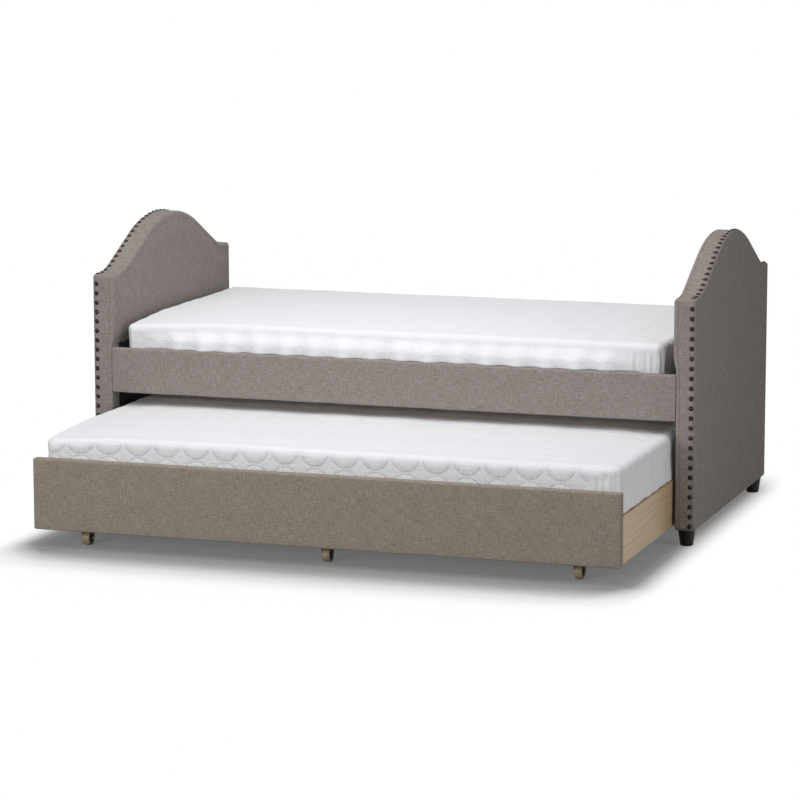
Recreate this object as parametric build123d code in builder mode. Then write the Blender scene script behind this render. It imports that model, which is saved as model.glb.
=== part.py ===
from build123d import *
from math import atan2, cos, degrees, pi, sin, asin
import os

# Trundle bed: an upholstered day bed with arched ends, and a trundle that rolls out at the front.
# Millimetres. The floor is Z = 0, +X runs along the bed to its right end, and -Y is the front.

# Mattresses: the bed is built round the upper one
MATTRESS_LENGTH = 1885
MATTRESS_WIDTH = 975
MATTRESS_THICK = 200
TRUNDLE_MATTRESS_THICK = 150
MATTRESS_CORNER = 60  # corner radius in plan
MATTRESS_BASE_ROLL = 12  # radius of the bottom edge
MATTRESS_TOP_ROLL = 26  # radius of the top edge
MATTRESS_LEAN = 14  # how much further in the top edge stands than the base
MATTRESS_DRAW = 5  # how far the sides pull in between corners and at half height
MATTRESS_CROWN = 6  # rise of the top from its rolled edge to the middle
MATTRESS_CROWN_RUN = 40  # distance over which it rises
QUILT_ROUND = 80  # diameter of a round, inside its line of stitching
QUILT_STITCH = 5  # width of the drawn-down line
QUILT_GAP = 4  # between the lines of neighbouring rounds
QUILT_DEPTH = 3

# End panels, built up from the outer face inwards
OUTER_PANEL = 4  # hardboard covered in fabric
FRAME_THICK = 44
FOAM_THICK = 14
FABRIC = 2
FOOT_HEIGHT = 54
SHOULDER_HEIGHT = 812
ARCH_RISE = 165
ARCH_STEEPNESS = 1.48  # slope of the straight run over the mean slope from shoulder to crown
SHOULDER_FLAT = 25
COVE_RADIUS = 245
CORNER_ROUND = 12  # corners of the panel's outline
EDGE_ROUND = 9  # padded edge of the inner face
COVER_SLACK = 0.3  # between the fabric and what it wraps
OUTER_PANEL_INSET = 1.5
POST_WIDTH = 70
BOTTOM_RAIL = 60
MIDDLE_RAIL = 70
ARCH_BOARD_DROP = 110  # the arch board reaches this far below the shoulders
GLUE_LINE = 0.3  # between the members of a frame
LINING_THICK = 1
LINING_TOP = 590
LINING_RAISE = 20  # lower edge above the panel's bottom
LINING_GAP = 2  # clear of the brackets

# Nailheads
NAIL_RADIUS = 8
NAIL_HEIGHT = 5
NAIL_PITCH = 32
NAIL_INSET = 12  # from the panel's outer face
NAIL_TOP_GAP = 32  # first nail below the shoulder
NAIL_LOW_GAP = 17  # last nail above the panel's bottom
NAIL_CORNER_GAP = 16  # first nail of the arch from the corner
NAIL_SHANK_RADIUS = 1
NAIL_SHANK = 18

# Feet
FOOT_TOP_RADIUS = 29
FOOT_LOW_RADIUS = 21
FOOT_EDGE = 4
FOOT_INSET = 46  # from the panel's front and rear edges
STUD_RADIUS = 4
STUD_IN_FOOT = 32
STUD_IN_POST = 40

# Bed rails
RAIL_HEIGHT = 152
RAIL_THICK = 30
RAIL_FABRIC = 2.5  # fabric with thin wadding
RAIL_EDGE = 6
RAIL_SETBACK = 4
RAIL_END_GAP = 1
MATTRESS_SIDE_GAP = 11.5
MATTRESS_END_GAP = 43.5

# Slats of both beds
SLAT_COUNT = 13
SLAT_WIDTH = 70
SLAT_THICK = 18
SLAT_EDGE = 2
SLAT_END_GAP = 5
LEDGER = 22  # square section
LEDGER_RAISE = 4  # above the lower edge of the bed rail
LEDGER_END_GAP = 6

# Corner brackets and their fasteners
BRACKET_THICK = 3
BRACKET_HEIGHT = 110
BRACKET_PANEL_LEG = 26
BRACKET_RAIL_LEG = 60
BRACKET_ROW = 35  # fasteners above and below the middle
BRACKET_SCREW_NEAR = 20
BRACKET_SCREW_FAR = 45
BOLT_RADIUS = 4
BOLT_HEAD_RADIUS = 7
BOLT_HEAD = 4.5
BOLT_IN_FRAME = 32
INSERT_RADIUS = 6
INSERT_LENGTH = 15
SCREW_RADIUS = 2
SCREW_HEAD_RADIUS = 4
SCREW_HEAD = 2.5
SCREW_LENGTH = 18
SLAT_SCREW_LENGTH = 32
HOLE_SLACK = 0.1  # radial, round every fastener

# Trundle
TRUNDLE_PULL = 650  # how far it stands out as shown
TRUNDLE_END_GAP = 6  # each end, to the bed's end panels
TRUNDLE_REAR_GAP = 46  # to the rear of the bed when it is pushed home
TRUNDLE_HEADROOM = 38  # from its mattress to the bed rail
FLOOR_GAP = 60
FRONT_PANEL_HEIGHT = 233
FRONT_PANEL_THICK = 30
BOARD_THICK = 18
BOARD_HEIGHT = 150
BOARD_RAISE = 6  # above the lower edge of the front panel
BOARD_EDGE = 1.5
SIDE_INSET = 2  # from the ends of the front panel
TRUNDLE_LEDGER = 20
BEAM_WIDTH = 90
BEAM_HEIGHT = 40
BEAM_RAISE = 10
CORNER_BLOCK = 30
CORNER_BLOCK_GAP = 8  # below the slat ledgers
DECK_SIDE_GAP = 12
TRUNDLE_MATTRESS_FRONT_GAP = 6
TRUNDLE_MATTRESS_REAR_GAP = 14
TRUNDLE_MATTRESS_END_GAP = 16

# Casters, which roll to the front and rear
WHEEL_RADIUS = 25
WHEEL_WIDTH = 24
WHEEL_CROWN = 2  # drop of the tread from its middle to its edges
WHEEL_RIM = 6
WHEEL_HUB_RADIUS = 7
WHEEL_RECESS = 5
AXLE_RADIUS = 3
AXLE_HEAD_RADIUS = 5
AXLE_HEAD = 2
AXLE_RUNNING_FIT = 0.06  # radial
FORK_LEG = 3
FORK_SIDE_GAP = 1.5
FORK_TIP_RADIUS = 9
FORK_ROOT_WIDTH = 44
PLATE_SIZE = 60
PLATE_THICK = 2.5
PLATE_SCREW_GAP = 1.5  # from a screw's head to the fork's leg
CASTER_INSET = 89  # from the front and rear of the trundle
CASTER_END_INSET = 150  # from the ends of the side boards' outer faces

# Spacing of the quilted rounds
QUILT_PITCH = QUILT_ROUND + 2 * QUILT_STITCH + QUILT_GAP

# Places worked out along the length
PANEL_THICK = OUTER_PANEL + FRAME_THICK + FOAM_THICK + FABRIC
INNER_X = MATTRESS_LENGTH / 2 + MATTRESS_END_GAP
FOAM_X = INNER_X + FABRIC
FRAME_X = FOAM_X + FOAM_THICK
COVER_X = FRAME_X + FRAME_THICK
OUTER_X = INNER_X + PANEL_THICK
FOOT_X = OUTER_X - PANEL_THICK / 2
NAIL_X = OUTER_X - NAIL_INSET
RAIL_X = INNER_X - RAIL_END_GAP
LEDGER_X = INNER_X - BRACKET_RAIL_LEG - LEDGER_END_GAP
FRONT_PANEL_X = INNER_X - TRUNDLE_END_GAP
SIDE_OUTER_X = FRONT_PANEL_X - SIDE_INSET
SIDE_INNER_X = SIDE_OUTER_X - BOARD_THICK
CASTER_X = SIDE_OUTER_X - CASTER_END_INSET

# Places worked out from front to rear, with the whole object centred on Y = 0
BED_DEPTH = MATTRESS_WIDTH + 2 * (MATTRESS_SIDE_GAP + RAIL_THICK + RAIL_SETBACK)
BED_FRONT = (TRUNDLE_PULL - BED_DEPTH - NAIL_HEIGHT) / 2
BED_REAR = BED_FRONT + BED_DEPTH
BED_MID = (BED_FRONT + BED_REAR) / 2
RAIL_INNER = BED_DEPTH / 2 - RAIL_SETBACK - RAIL_THICK  # rail's inner face from the bed's middle
TRUNDLE_DEPTH = BED_DEPTH - TRUNDLE_REAR_GAP
TRUNDLE_FRONT = BED_FRONT - TRUNDLE_PULL
TRUNDLE_REAR = TRUNDLE_FRONT + TRUNDLE_DEPTH
FRONT_BACK = TRUNDLE_FRONT + FRONT_PANEL_THICK  # back face of the trundle's front panel
BACK_BOARD_FRONT = TRUNDLE_REAR - BOARD_THICK
LINING_INSET = RAIL_SETBACK + RAIL_THICK + BRACKET_PANEL_LEG + LINING_GAP

# Heights worked out from the floor up
BOARD_LOW = FLOOR_GAP + BOARD_RAISE
TRUNDLE_DECK = BOARD_LOW + BOARD_HEIGHT
TRUNDLE_LEDGER_HIGH = TRUNDLE_DECK - SLAT_THICK
TRUNDLE_LEDGER_LOW = TRUNDLE_LEDGER_HIGH - TRUNDLE_LEDGER
CORNER_BLOCK_HIGH = TRUNDLE_LEDGER_LOW - CORNER_BLOCK_GAP
BEAM_LOW = FLOOR_GAP + BEAM_RAISE
RAIL_LOW = TRUNDLE_DECK + TRUNDLE_MATTRESS_THICK + MATTRESS_CROWN + TRUNDLE_HEADROOM
RAIL_HIGH = RAIL_LOW + RAIL_HEIGHT
RAIL_MID = (RAIL_LOW + RAIL_HIGH) / 2
LEDGER_LOW = RAIL_LOW + LEDGER_RAISE
BED_DECK = LEDGER_LOW + LEDGER + SLAT_THICK
PEAK_HEIGHT = SHOULDER_HEIGHT + ARCH_RISE
ARCH_BOARD_LOW = SHOULDER_HEIGHT - ARCH_BOARD_DROP

# Arch: a cove, a straight run and a crown that meet in line
ARCH_RUN = BED_DEPTH / 2 - SHOULDER_FLAT
ARCH_SLOPE = ARCH_STEEPNESS * atan2(ARCH_RISE, ARCH_RUN)
ARCH_RADII = (ARCH_RUN * sin(ARCH_SLOPE) - ARCH_RISE * cos(ARCH_SLOPE)) / (1 - cos(ARCH_SLOPE))
CROWN_RADIUS = ARCH_RADII - COVE_RADIUS

ENDS = (("left", -1), ("right", 1))
FACES = (("front", -1), ("rear", 1))

os.makedirs("parts", exist_ok=True)


def save(piece, name):
    """Labels a finished piece and writes it."""
    piece.part.label = name
    export_step(piece.part, f"parts/{name}.step")


def block(low, high, mode=Mode.ADD):
    """Adds a square-edged block between two opposite corners."""
    size = [abs(b - a) for a, b in zip(low, high)]
    middle = [(a + b) / 2 for a, b in zip(low, high)]
    with Locations(tuple(middle)):
        Box(*size, mode=mode)


def rod(start, end, radius, mode=Mode.ADD):
    """Adds a round rod from one point to another."""
    along = Vector(*end) - Vector(*start)
    with Locations(Plane(origin=start, z_dir=along)):
        Cylinder(radius, along.length, align=(Align.CENTER, Align.CENTER, Align.MIN), mode=mode)


def end_plane(x):
    """The plane of an end panel at X, its own X to the rear and its own Y up from the floor."""
    return Plane(origin=(x, BED_MID, 0), x_dir=(0, 1, 0), z_dir=(1, 0, 0))


def draw_top_edge(inset):
    """Draws an end panel's top edge from the front corner to the rear one, drawn in by inset."""
    side = BED_DEPTH / 2 - inset
    shoulder = SHOULDER_HEIGHT - inset
    turn = degrees(ARCH_SLOPE)
    cove_height = SHOULDER_HEIGHT + COVE_RADIUS
    front_cove = CenterArc((-ARCH_RUN, cove_height), COVE_RADIUS + inset, -90, turn)
    crown = CenterArc((0, PEAK_HEIGHT - CROWN_RADIUS), CROWN_RADIUS - inset, 90 + turn, -2 * turn)
    rear_cove = CenterArc((ARCH_RUN, cove_height), COVE_RADIUS + inset, -90 - turn, turn)
    Line((-side, shoulder), front_cove @ 0)
    Line(front_cove @ 1, crown @ 0)
    Line(crown @ 1, rear_cove @ 0)
    Line(rear_cove @ 1, (side, shoulder))


def draw_panel_outline(inset):
    """Draws the whole outline of an end panel, drawn in by inset, with its corners rounded."""
    side = BED_DEPTH / 2 - inset
    shoulder = SHOULDER_HEIGHT - inset
    low = FOOT_HEIGHT + inset
    with BuildLine() as outline:
        draw_top_edge(inset)
        Polyline((side, shoulder), (side, low), (-side, low), (-side, shoulder))
    make_face(outline.edges())
    corners = vertices().group_by(Axis.X)
    fillet(corners[0] + corners[-1], CORNER_ROUND - inset)


def padded_block(sign, near_x, far_x, inset, edge_round):
    """A slab of the end panel's outline whose edge on the inner side is rounded."""
    with BuildPart() as slab:
        with BuildSketch(end_plane(sign * near_x)):
            draw_panel_outline(inset)
        extrude(amount=sign * (far_x - near_x))
        inner_face = slab.faces().sort_by(Axis.X)[0 if sign > 0 else -1]
        fillet(inner_face.edges(), edge_round)
    return slab.part


def foot_places(sign):
    """The two feet of one end, from front to rear."""
    return [(sign * FOOT_X, BED_FRONT + FOOT_INSET), (sign * FOOT_X, BED_REAR - FOOT_INSET)]


def bolt_places():
    """Y and Z of the bolts that hold the brackets to an end panel."""
    reach = RAIL_INNER - (BRACKET_THICK + BRACKET_PANEL_LEG) / 2
    return [(BED_MID + face * reach, RAIL_MID + row * BRACKET_ROW) for _, face in FACES for row in (-1, 1)]


# End panels: frame, foam, fabric cover, outer panel, lining and nailheads
for end, sign in ENDS:
    with BuildPart() as end_frame:
        frame_inset = FABRIC + COVER_SLACK
        rail_span = BED_DEPTH - 2 * (frame_inset + POST_WIDTH)
        with BuildSketch(end_plane(sign * FRAME_X)):
            draw_panel_outline(frame_inset)
            bottom_rail_high = FOOT_HEIGHT + frame_inset + BOTTOM_RAIL
            middle_rail_low = RAIL_MID - MIDDLE_RAIL / 2
            middle_rail_high = RAIL_MID + MIDDLE_RAIL / 2
            for low, high in ((bottom_rail_high, middle_rail_low), (middle_rail_high, ARCH_BOARD_LOW)):
                with Locations((0, (low + high) / 2)):
                    Rectangle(rail_span, high - low, mode=Mode.SUBTRACT)
            with Locations((0, ARCH_BOARD_LOW)):
                Rectangle(BED_DEPTH, GLUE_LINE, mode=Mode.SUBTRACT)
            with Locations((-rail_span / 2, ARCH_BOARD_LOW), (rail_span / 2, ARCH_BOARD_LOW)):
                Rectangle(GLUE_LINE, ARCH_BOARD_LOW, align=(Align.CENTER, Align.MAX), mode=Mode.SUBTRACT)
        extrude(amount=sign * FRAME_THICK)
        for y, z in bolt_places():
            insert_end = FRAME_X + INSERT_LENGTH + HOLE_SLACK
            hole_end = FRAME_X + BOLT_IN_FRAME + HOLE_SLACK
            rod((sign * FRAME_X, y, z), (sign * insert_end, y, z), INSERT_RADIUS + HOLE_SLACK, Mode.SUBTRACT)
            rod((sign * FRAME_X, y, z), (sign * hole_end, y, z), BOLT_RADIUS + HOLE_SLACK, Mode.SUBTRACT)
        for x, y in foot_places(sign):
            stud_top = FOOT_HEIGHT + STUD_IN_POST + HOLE_SLACK
            rod((x, y, FOOT_HEIGHT), (x, y, stud_top), STUD_RADIUS + HOLE_SLACK, Mode.SUBTRACT)
    save(end_frame, f"{end}_end_frame")

    foam_inset = FABRIC + COVER_SLACK
    foam_slab = padded_block(sign, FOAM_X + COVER_SLACK, FRAME_X, foam_inset, EDGE_ROUND - foam_inset)
    with BuildPart() as end_foam:
        add(foam_slab)
        for y, z in bolt_places():
            rod((sign * INNER_X, y, z), (sign * FRAME_X, y, z), BOLT_RADIUS + HOLE_SLACK, Mode.SUBTRACT)
    save(end_foam, f"{end}_end_foam")

    cover_outside = padded_block(sign, INNER_X, COVER_X, 0, EDGE_ROUND)
    cover_inside = padded_block(sign, FOAM_X, COVER_X, FABRIC, EDGE_ROUND - FABRIC)
    with BuildPart() as end_cover:
        add(cover_outside)
        add(cover_inside, mode=Mode.SUBTRACT)
        for y, z in bolt_places():
            rod((sign * INNER_X, y, z), (sign * FRAME_X, y, z), BOLT_RADIUS + HOLE_SLACK, Mode.SUBTRACT)
        for x, y in foot_places(sign):
            hole_top = FOOT_HEIGHT + STUD_IN_POST
            rod((x, y, FOOT_HEIGHT), (x, y, hole_top), STUD_RADIUS + HOLE_SLACK, Mode.SUBTRACT)
    save(end_cover, f"{end}_end_cover")

    with BuildPart() as outer_panel:
        with BuildSketch(end_plane(sign * COVER_X)):
            draw_panel_outline(OUTER_PANEL_INSET)
        extrude(amount=sign * OUTER_PANEL)
    save(outer_panel, f"{end}_outer_panel")

    with BuildPart() as inner_lining:
        lining_low = FOOT_HEIGHT + LINING_RAISE
        block(
            (sign * INNER_X, BED_FRONT + LINING_INSET, lining_low),
            (sign * (INNER_X - LINING_THICK), BED_REAR - LINING_INSET, LINING_TOP),
        )
    save(inner_lining, f"{end}_inner_lining")

# One nail: a domed head on a straight shank, its seat at Z = 0
DOME_RADIUS = (NAIL_RADIUS**2 + NAIL_HEIGHT**2) / (2 * NAIL_HEIGHT)
half_dome = asin(NAIL_RADIUS / DOME_RADIUS) / 2
with BuildPart() as nail:
    with BuildSketch(Plane.XZ):
        with BuildLine():
            dome_side = (DOME_RADIUS * sin(half_dome), NAIL_HEIGHT - DOME_RADIUS * (1 - cos(half_dome)))
            ThreePointArc((NAIL_RADIUS, 0), dome_side, (0, NAIL_HEIGHT))
            Polyline(
                (0, NAIL_HEIGHT),
                (0, -NAIL_SHANK),
                (NAIL_SHANK_RADIUS, -NAIL_SHANK),
                (NAIL_SHANK_RADIUS, 0),
                (NAIL_RADIUS, 0),
            )
        make_face()
    revolve(axis=Axis.Z)


def even_steps(start, end, pitch):
    """Distances from start to end, evenly spaced as near the pitch as they come."""
    count = max(1, round((end - start) / pitch))
    return [start + (end - start) * step / count for step in range(count + 1)]


def nail_seats(x):
    """Seats of the nails up the front edge, over the arch and down the rear edge."""
    seats = []
    for z in even_steps(FOOT_HEIGHT + NAIL_LOW_GAP, SHOULDER_HEIGHT - NAIL_TOP_GAP, NAIL_PITCH):
        seats.append(Plane(origin=(x, BED_FRONT, z), z_dir=(0, -1, 0)))
        seats.append(Plane(origin=(x, BED_REAR, z), z_dir=(0, 1, 0)))
    with BuildLine(end_plane(x)) as top_edge:
        draw_top_edge(0)
    path = top_edge.wire()
    for place in even_steps(NAIL_CORNER_GAP, path.length - NAIL_CORNER_GAP, NAIL_PITCH):
        point = path.position_at(place, position_mode=PositionMode.LENGTH)
        square = Vector(1, 0, 0).cross(path.tangent_at(place, position_mode=PositionMode.LENGTH))
        seats.append(Plane(origin=point, z_dir=square if square.Z > 0 else -square))
    return seats


for end, sign in ENDS:
    seats = nail_seats(sign * NAIL_X)
    with BuildPart() as nailheads:
        with Locations(*seats):
            add(nail.part)
    save(nailheads, f"{end}_nailheads")

# Feet, and the studs that screw into the posts above them
for end, sign in ENDS:
    for (face, _), (x, y) in zip(FACES, foot_places(sign)):
        with BuildPart() as foot:
            with Locations((x, y, 0)):
                Cone(
                    FOOT_LOW_RADIUS,
                    FOOT_TOP_RADIUS,
                    FOOT_HEIGHT,
                    align=(Align.CENTER, Align.CENTER, Align.MIN),
                )
            fillet(foot.edges().filter_by(GeomType.CIRCLE).sort_by(Axis.Z)[0], FOOT_EDGE)
            with Locations((x, y, FOOT_HEIGHT)):
                Hole(STUD_RADIUS + HOLE_SLACK, STUD_IN_FOOT + HOLE_SLACK)
        save(foot, f"{end}_{face}_foot")

with BuildPart() as foot_studs:
    for _, sign in ENDS:
        for x, y in foot_places(sign):
            rod((x, y, FOOT_HEIGHT - STUD_IN_FOOT), (x, y, FOOT_HEIGHT + STUD_IN_POST), STUD_RADIUS)
save(foot_studs, "foot_studs")


def bracket_screw_places():
    """X from the bed's middle and Z of the screws that hold a bracket to its rail."""
    columns = (INNER_X - BRACKET_SCREW_NEAR, INNER_X - BRACKET_SCREW_FAR)
    return [(x, RAIL_MID + row * BRACKET_ROW) for x in columns for row in (-1, 1)]


def slat_places(half_span):
    """X of the slats' middles, spread evenly over the deck."""
    step = (2 * half_span - SLAT_WIDTH) / (SLAT_COUNT - 1)
    return [-half_span + SLAT_WIDTH / 2 + step * number for number in range(SLAT_COUNT)]


# Side rails: a wooden core in a fabric sleeve, with a ledger inside that carries the slats
for face, way in FACES:
    rail_inner = BED_MID + way * RAIL_INNER
    rail_middle = rail_inner + way * RAIL_THICK / 2
    core_inner = rail_inner + way * RAIL_FABRIC
    core_outer = rail_inner + way * (RAIL_THICK - RAIL_FABRIC)
    screw_tip = rail_inner - way * (BRACKET_THICK - SCREW_LENGTH)

    with BuildPart() as rail_core:
        block(
            (-RAIL_X, core_inner, RAIL_LOW + RAIL_FABRIC),
            (RAIL_X, core_outer, RAIL_HIGH - RAIL_FABRIC),
        )
        for _, sign in ENDS:
            for x, z in bracket_screw_places():
                hole_end = screw_tip + way * HOLE_SLACK
                rod((sign * x, rail_inner, z), (sign * x, hole_end, z), SCREW_RADIUS + HOLE_SLACK, Mode.SUBTRACT)
    save(rail_core, f"{face}_rail_core")

    with BuildPart() as rail_cover:
        with BuildSketch(Plane.YZ.offset(-RAIL_X)):
            with Locations((rail_middle, RAIL_MID)):
                RectangleRounded(RAIL_THICK, RAIL_HEIGHT, RAIL_EDGE)
                Rectangle(
                    RAIL_THICK - 2 * RAIL_FABRIC,
                    RAIL_HEIGHT - 2 * RAIL_FABRIC,
                    mode=Mode.SUBTRACT,
                )
        extrude(amount=2 * RAIL_X)
        for _, sign in ENDS:
            for x, z in bracket_screw_places():
                rod((sign * x, rail_inner, z), (sign * x, core_inner, z), SCREW_RADIUS + HOLE_SLACK, Mode.SUBTRACT)
    save(rail_cover, f"{face}_rail_cover")

    with BuildPart() as slat_ledger:
        block(
            (-LEDGER_X, rail_inner, LEDGER_LOW),
            (LEDGER_X, rail_inner - way * LEDGER, LEDGER_LOW + LEDGER),
        )
        with Locations(*[(x, rail_inner - way * LEDGER / 2, LEDGER_LOW + LEDGER) for x in slat_places(LEDGER_X)]):
            Hole(SCREW_RADIUS + HOLE_SLACK, SLAT_SCREW_LENGTH - SLAT_THICK + HOLE_SLACK)
    save(slat_ledger, f"{face}_slat_ledger")


def make_slats(name, half_span, front_y, rear_y, screw_inset, deck):
    """A row of slats with rounded edges and sunk screws, and the screws as a piece of their own."""
    places = slat_places(half_span)
    seats = [(x, y, deck) for x in places for y in (front_y + screw_inset, rear_y - screw_inset)]
    with BuildPart() as slats:
        for x in places:
            block(
                (x - SLAT_WIDTH / 2, front_y + SLAT_END_GAP, deck - SLAT_THICK),
                (x + SLAT_WIDTH / 2, rear_y - SLAT_END_GAP, deck),
            )
        fillet(slats.edges().filter_by(Axis.Y), SLAT_EDGE)
        with Locations(*seats):
            CounterBoreHole(SCREW_RADIUS + HOLE_SLACK, SCREW_HEAD_RADIUS + HOLE_SLACK, SCREW_HEAD)
    save(slats, f"{name}_slats")

    with BuildPart() as slat_screws:
        for x, y, _ in seats:
            rod((x, y, deck), (x, y, deck - SCREW_HEAD), SCREW_HEAD_RADIUS)
            rod((x, y, deck), (x, y, deck - SLAT_SCREW_LENGTH), SCREW_RADIUS)
    save(slat_screws, f"{name}_slat_screws")


make_slats("bed", LEDGER_X, BED_MID - RAIL_INNER, BED_MID + RAIL_INNER, LEDGER / 2, BED_DECK)

# Corner brackets, with a leg on the rail and a leg on the end panel
with BuildPart() as corner_brackets:
    for _, sign in ENDS:
        for _, way in FACES:
            rail_inner = BED_MID + way * RAIL_INNER
            low = RAIL_MID - BRACKET_HEIGHT / 2
            high = RAIL_MID + BRACKET_HEIGHT / 2
            block(
                (sign * INNER_X, rail_inner, low),
                (sign * (INNER_X - BRACKET_RAIL_LEG), rail_inner - way * BRACKET_THICK, high),
            )
            block(
                (sign * INNER_X, rail_inner, low),
                (sign * (INNER_X - BRACKET_THICK), rail_inner - way * BRACKET_PANEL_LEG, high),
            )
            for x, z in bracket_screw_places():
                far_y = rail_inner - way * BRACKET_THICK
                rod((sign * x, rail_inner, z), (sign * x, far_y, z), SCREW_RADIUS + HOLE_SLACK, Mode.SUBTRACT)
        for y, z in bolt_places():
            far_x = sign * (INNER_X - BRACKET_THICK)
            rod((sign * INNER_X, y, z), (far_x, y, z), BOLT_RADIUS + HOLE_SLACK, Mode.SUBTRACT)
save(corner_brackets, "corner_brackets")

with BuildPart() as bracket_bolts:
    for _, sign in ENDS:
        for y, z in bolt_places():
            seat_x = INNER_X - BRACKET_THICK
            rod((sign * (seat_x - BOLT_HEAD), y, z), (sign * seat_x, y, z), BOLT_HEAD_RADIUS)
            rod((sign * seat_x, y, z), (sign * (FRAME_X + BOLT_IN_FRAME), y, z), BOLT_RADIUS)
save(bracket_bolts, "bracket_bolts")

with BuildPart() as threaded_inserts:
    for _, sign in ENDS:
        for y, z in bolt_places():
            rod((sign * FRAME_X, y, z), (sign * (FRAME_X + INSERT_LENGTH), y, z), INSERT_RADIUS)
            rod(
                (sign * FRAME_X, y, z),
                (sign * (FRAME_X + INSERT_LENGTH), y, z),
                BOLT_RADIUS + HOLE_SLACK,
                Mode.SUBTRACT,
            )
save(threaded_inserts, "threaded_inserts")

with BuildPart() as bracket_screws:
    for _, sign in ENDS:
        for _, way in FACES:
            seat_y = BED_MID + way * (RAIL_INNER - BRACKET_THICK)
            for x, z in bracket_screw_places():
                rod((sign * x, seat_y - way * SCREW_HEAD, z), (sign * x, seat_y, z), SCREW_HEAD_RADIUS)
                rod((sign * x, seat_y, z), (sign * x, seat_y + way * SCREW_LENGTH, z), SCREW_RADIUS)
save(bracket_screws, "bracket_screws")


def mattress_profile(thick):
    """Inset and height of each outline of a mattress, from its base to the flat of its top."""
    quarter = [step * pi / 6 for step in range(4)]
    base = [(MATTRESS_BASE_ROLL * (1 - sin(a)), MATTRESS_BASE_ROLL * (1 - cos(a))) for a in quarter]
    waist = [(MATTRESS_LEAN / 2 + MATTRESS_DRAW, thick / 2)]
    top_inset = MATTRESS_LEAN + MATTRESS_TOP_ROLL
    top_height = thick - MATTRESS_TOP_ROLL
    top = [(top_inset - MATTRESS_TOP_ROLL * cos(a), top_height + MATTRESS_TOP_ROLL * sin(a)) for a in quarter]
    crown = [(top_inset + MATTRESS_CROWN_RUN, thick + MATTRESS_CROWN)]
    return base + waist + top + crown


def draw_mattress_outline(half_length, half_width, corner):
    """Draws one outline of a mattress, whose sides pull in between its rounded corners."""
    straight_x = half_length - corner
    straight_y = half_width - corner
    with BuildLine() as outline:
        for way in (-1, 1):
            ThreePointArc(
                (-straight_x, way * half_width),
                (0, way * (half_width - MATTRESS_DRAW)),
                (straight_x, way * half_width),
            )
            ThreePointArc(
                (way * half_length, -straight_y),
                (way * (half_length - MATTRESS_DRAW), 0),
                (way * half_length, straight_y),
            )
        CenterArc((straight_x, straight_y), corner, 0, 90)
        CenterArc((-straight_x, straight_y), corner, 90, 90)
        CenterArc((-straight_x, -straight_y), corner, 180, 90)
        CenterArc((straight_x, -straight_y), corner, 270, 90)
    make_face(outline.edges())


def make_mattress(name, length, width, thick, middle_y, deck):
    """A mattress with a crowned, quilted top, lying on a deck."""
    least_corner = MATTRESS_CORNER - MATTRESS_LEAN - MATTRESS_TOP_ROLL
    flat_inset = MATTRESS_LEAN + MATTRESS_TOP_ROLL + MATTRESS_CROWN_RUN
    columns = int((length - 2 * flat_inset) / QUILT_PITCH)
    rows = int((width - 2 * flat_inset) / QUILT_PITCH)
    with BuildPart() as mattress:
        for inset, height in mattress_profile(thick):
            with BuildSketch(Plane((0, middle_y, deck + height))):
                corner = max(MATTRESS_CORNER - inset, least_corner)
                draw_mattress_outline(length / 2 - inset, width / 2 - inset, corner)
        loft(ruled=True)
        with BuildSketch(Plane((0, middle_y, deck + thick + MATTRESS_CROWN))):
            with GridLocations(QUILT_PITCH, QUILT_PITCH, columns, rows):
                Circle(QUILT_ROUND / 2 + QUILT_STITCH)
                Circle(QUILT_ROUND / 2, mode=Mode.SUBTRACT)
        extrude(amount=-QUILT_DEPTH, mode=Mode.SUBTRACT)
    save(mattress, name)


make_mattress("upper_mattress", MATTRESS_LENGTH, MATTRESS_WIDTH, MATTRESS_THICK, BED_MID, BED_DECK)

# Trundle: padded front panel, boards round the other three sides, beams and slats
with BuildPart() as trundle_front_core:
    block(
        (-FRONT_PANEL_X + RAIL_FABRIC, TRUNDLE_FRONT + RAIL_FABRIC, FLOOR_GAP + RAIL_FABRIC),
        (FRONT_PANEL_X - RAIL_FABRIC, FRONT_BACK, FLOOR_GAP + FRONT_PANEL_HEIGHT - RAIL_FABRIC),
    )
save(trundle_front_core, "trundle_front_core")

with BuildPart() as trundle_front_cover:
    block(
        (-FRONT_PANEL_X, TRUNDLE_FRONT, FLOOR_GAP),
        (FRONT_PANEL_X, FRONT_BACK, FLOOR_GAP + FRONT_PANEL_HEIGHT),
    )
    back_face = trundle_front_cover.faces().sort_by(Axis.Y)[-1]
    back_edges = back_face.edges()
    fillet([edge for edge in trundle_front_cover.edges() if edge not in back_edges], RAIL_EDGE)
    add(trundle_front_core.part, mode=Mode.SUBTRACT)
save(trundle_front_cover, "trundle_front_cover")

for end, sign in ENDS:
    with BuildPart() as trundle_side:
        block(
            (sign * SIDE_INNER_X, FRONT_BACK, BOARD_LOW),
            (sign * SIDE_OUTER_X, BACK_BOARD_FRONT, TRUNDLE_DECK),
        )
        fillet(trundle_side.edges().filter_by(Axis.Y), BOARD_EDGE)
    save(trundle_side, f"trundle_{end}_side")

with BuildPart() as trundle_back_board:
    block((-SIDE_OUTER_X, BACK_BOARD_FRONT, BOARD_LOW), (SIDE_OUTER_X, TRUNDLE_REAR, TRUNDLE_DECK))
    fillet(trundle_back_board.edges().filter_by(Axis.X), BOARD_EDGE)
save(trundle_back_board, "trundle_back_board")

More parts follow.
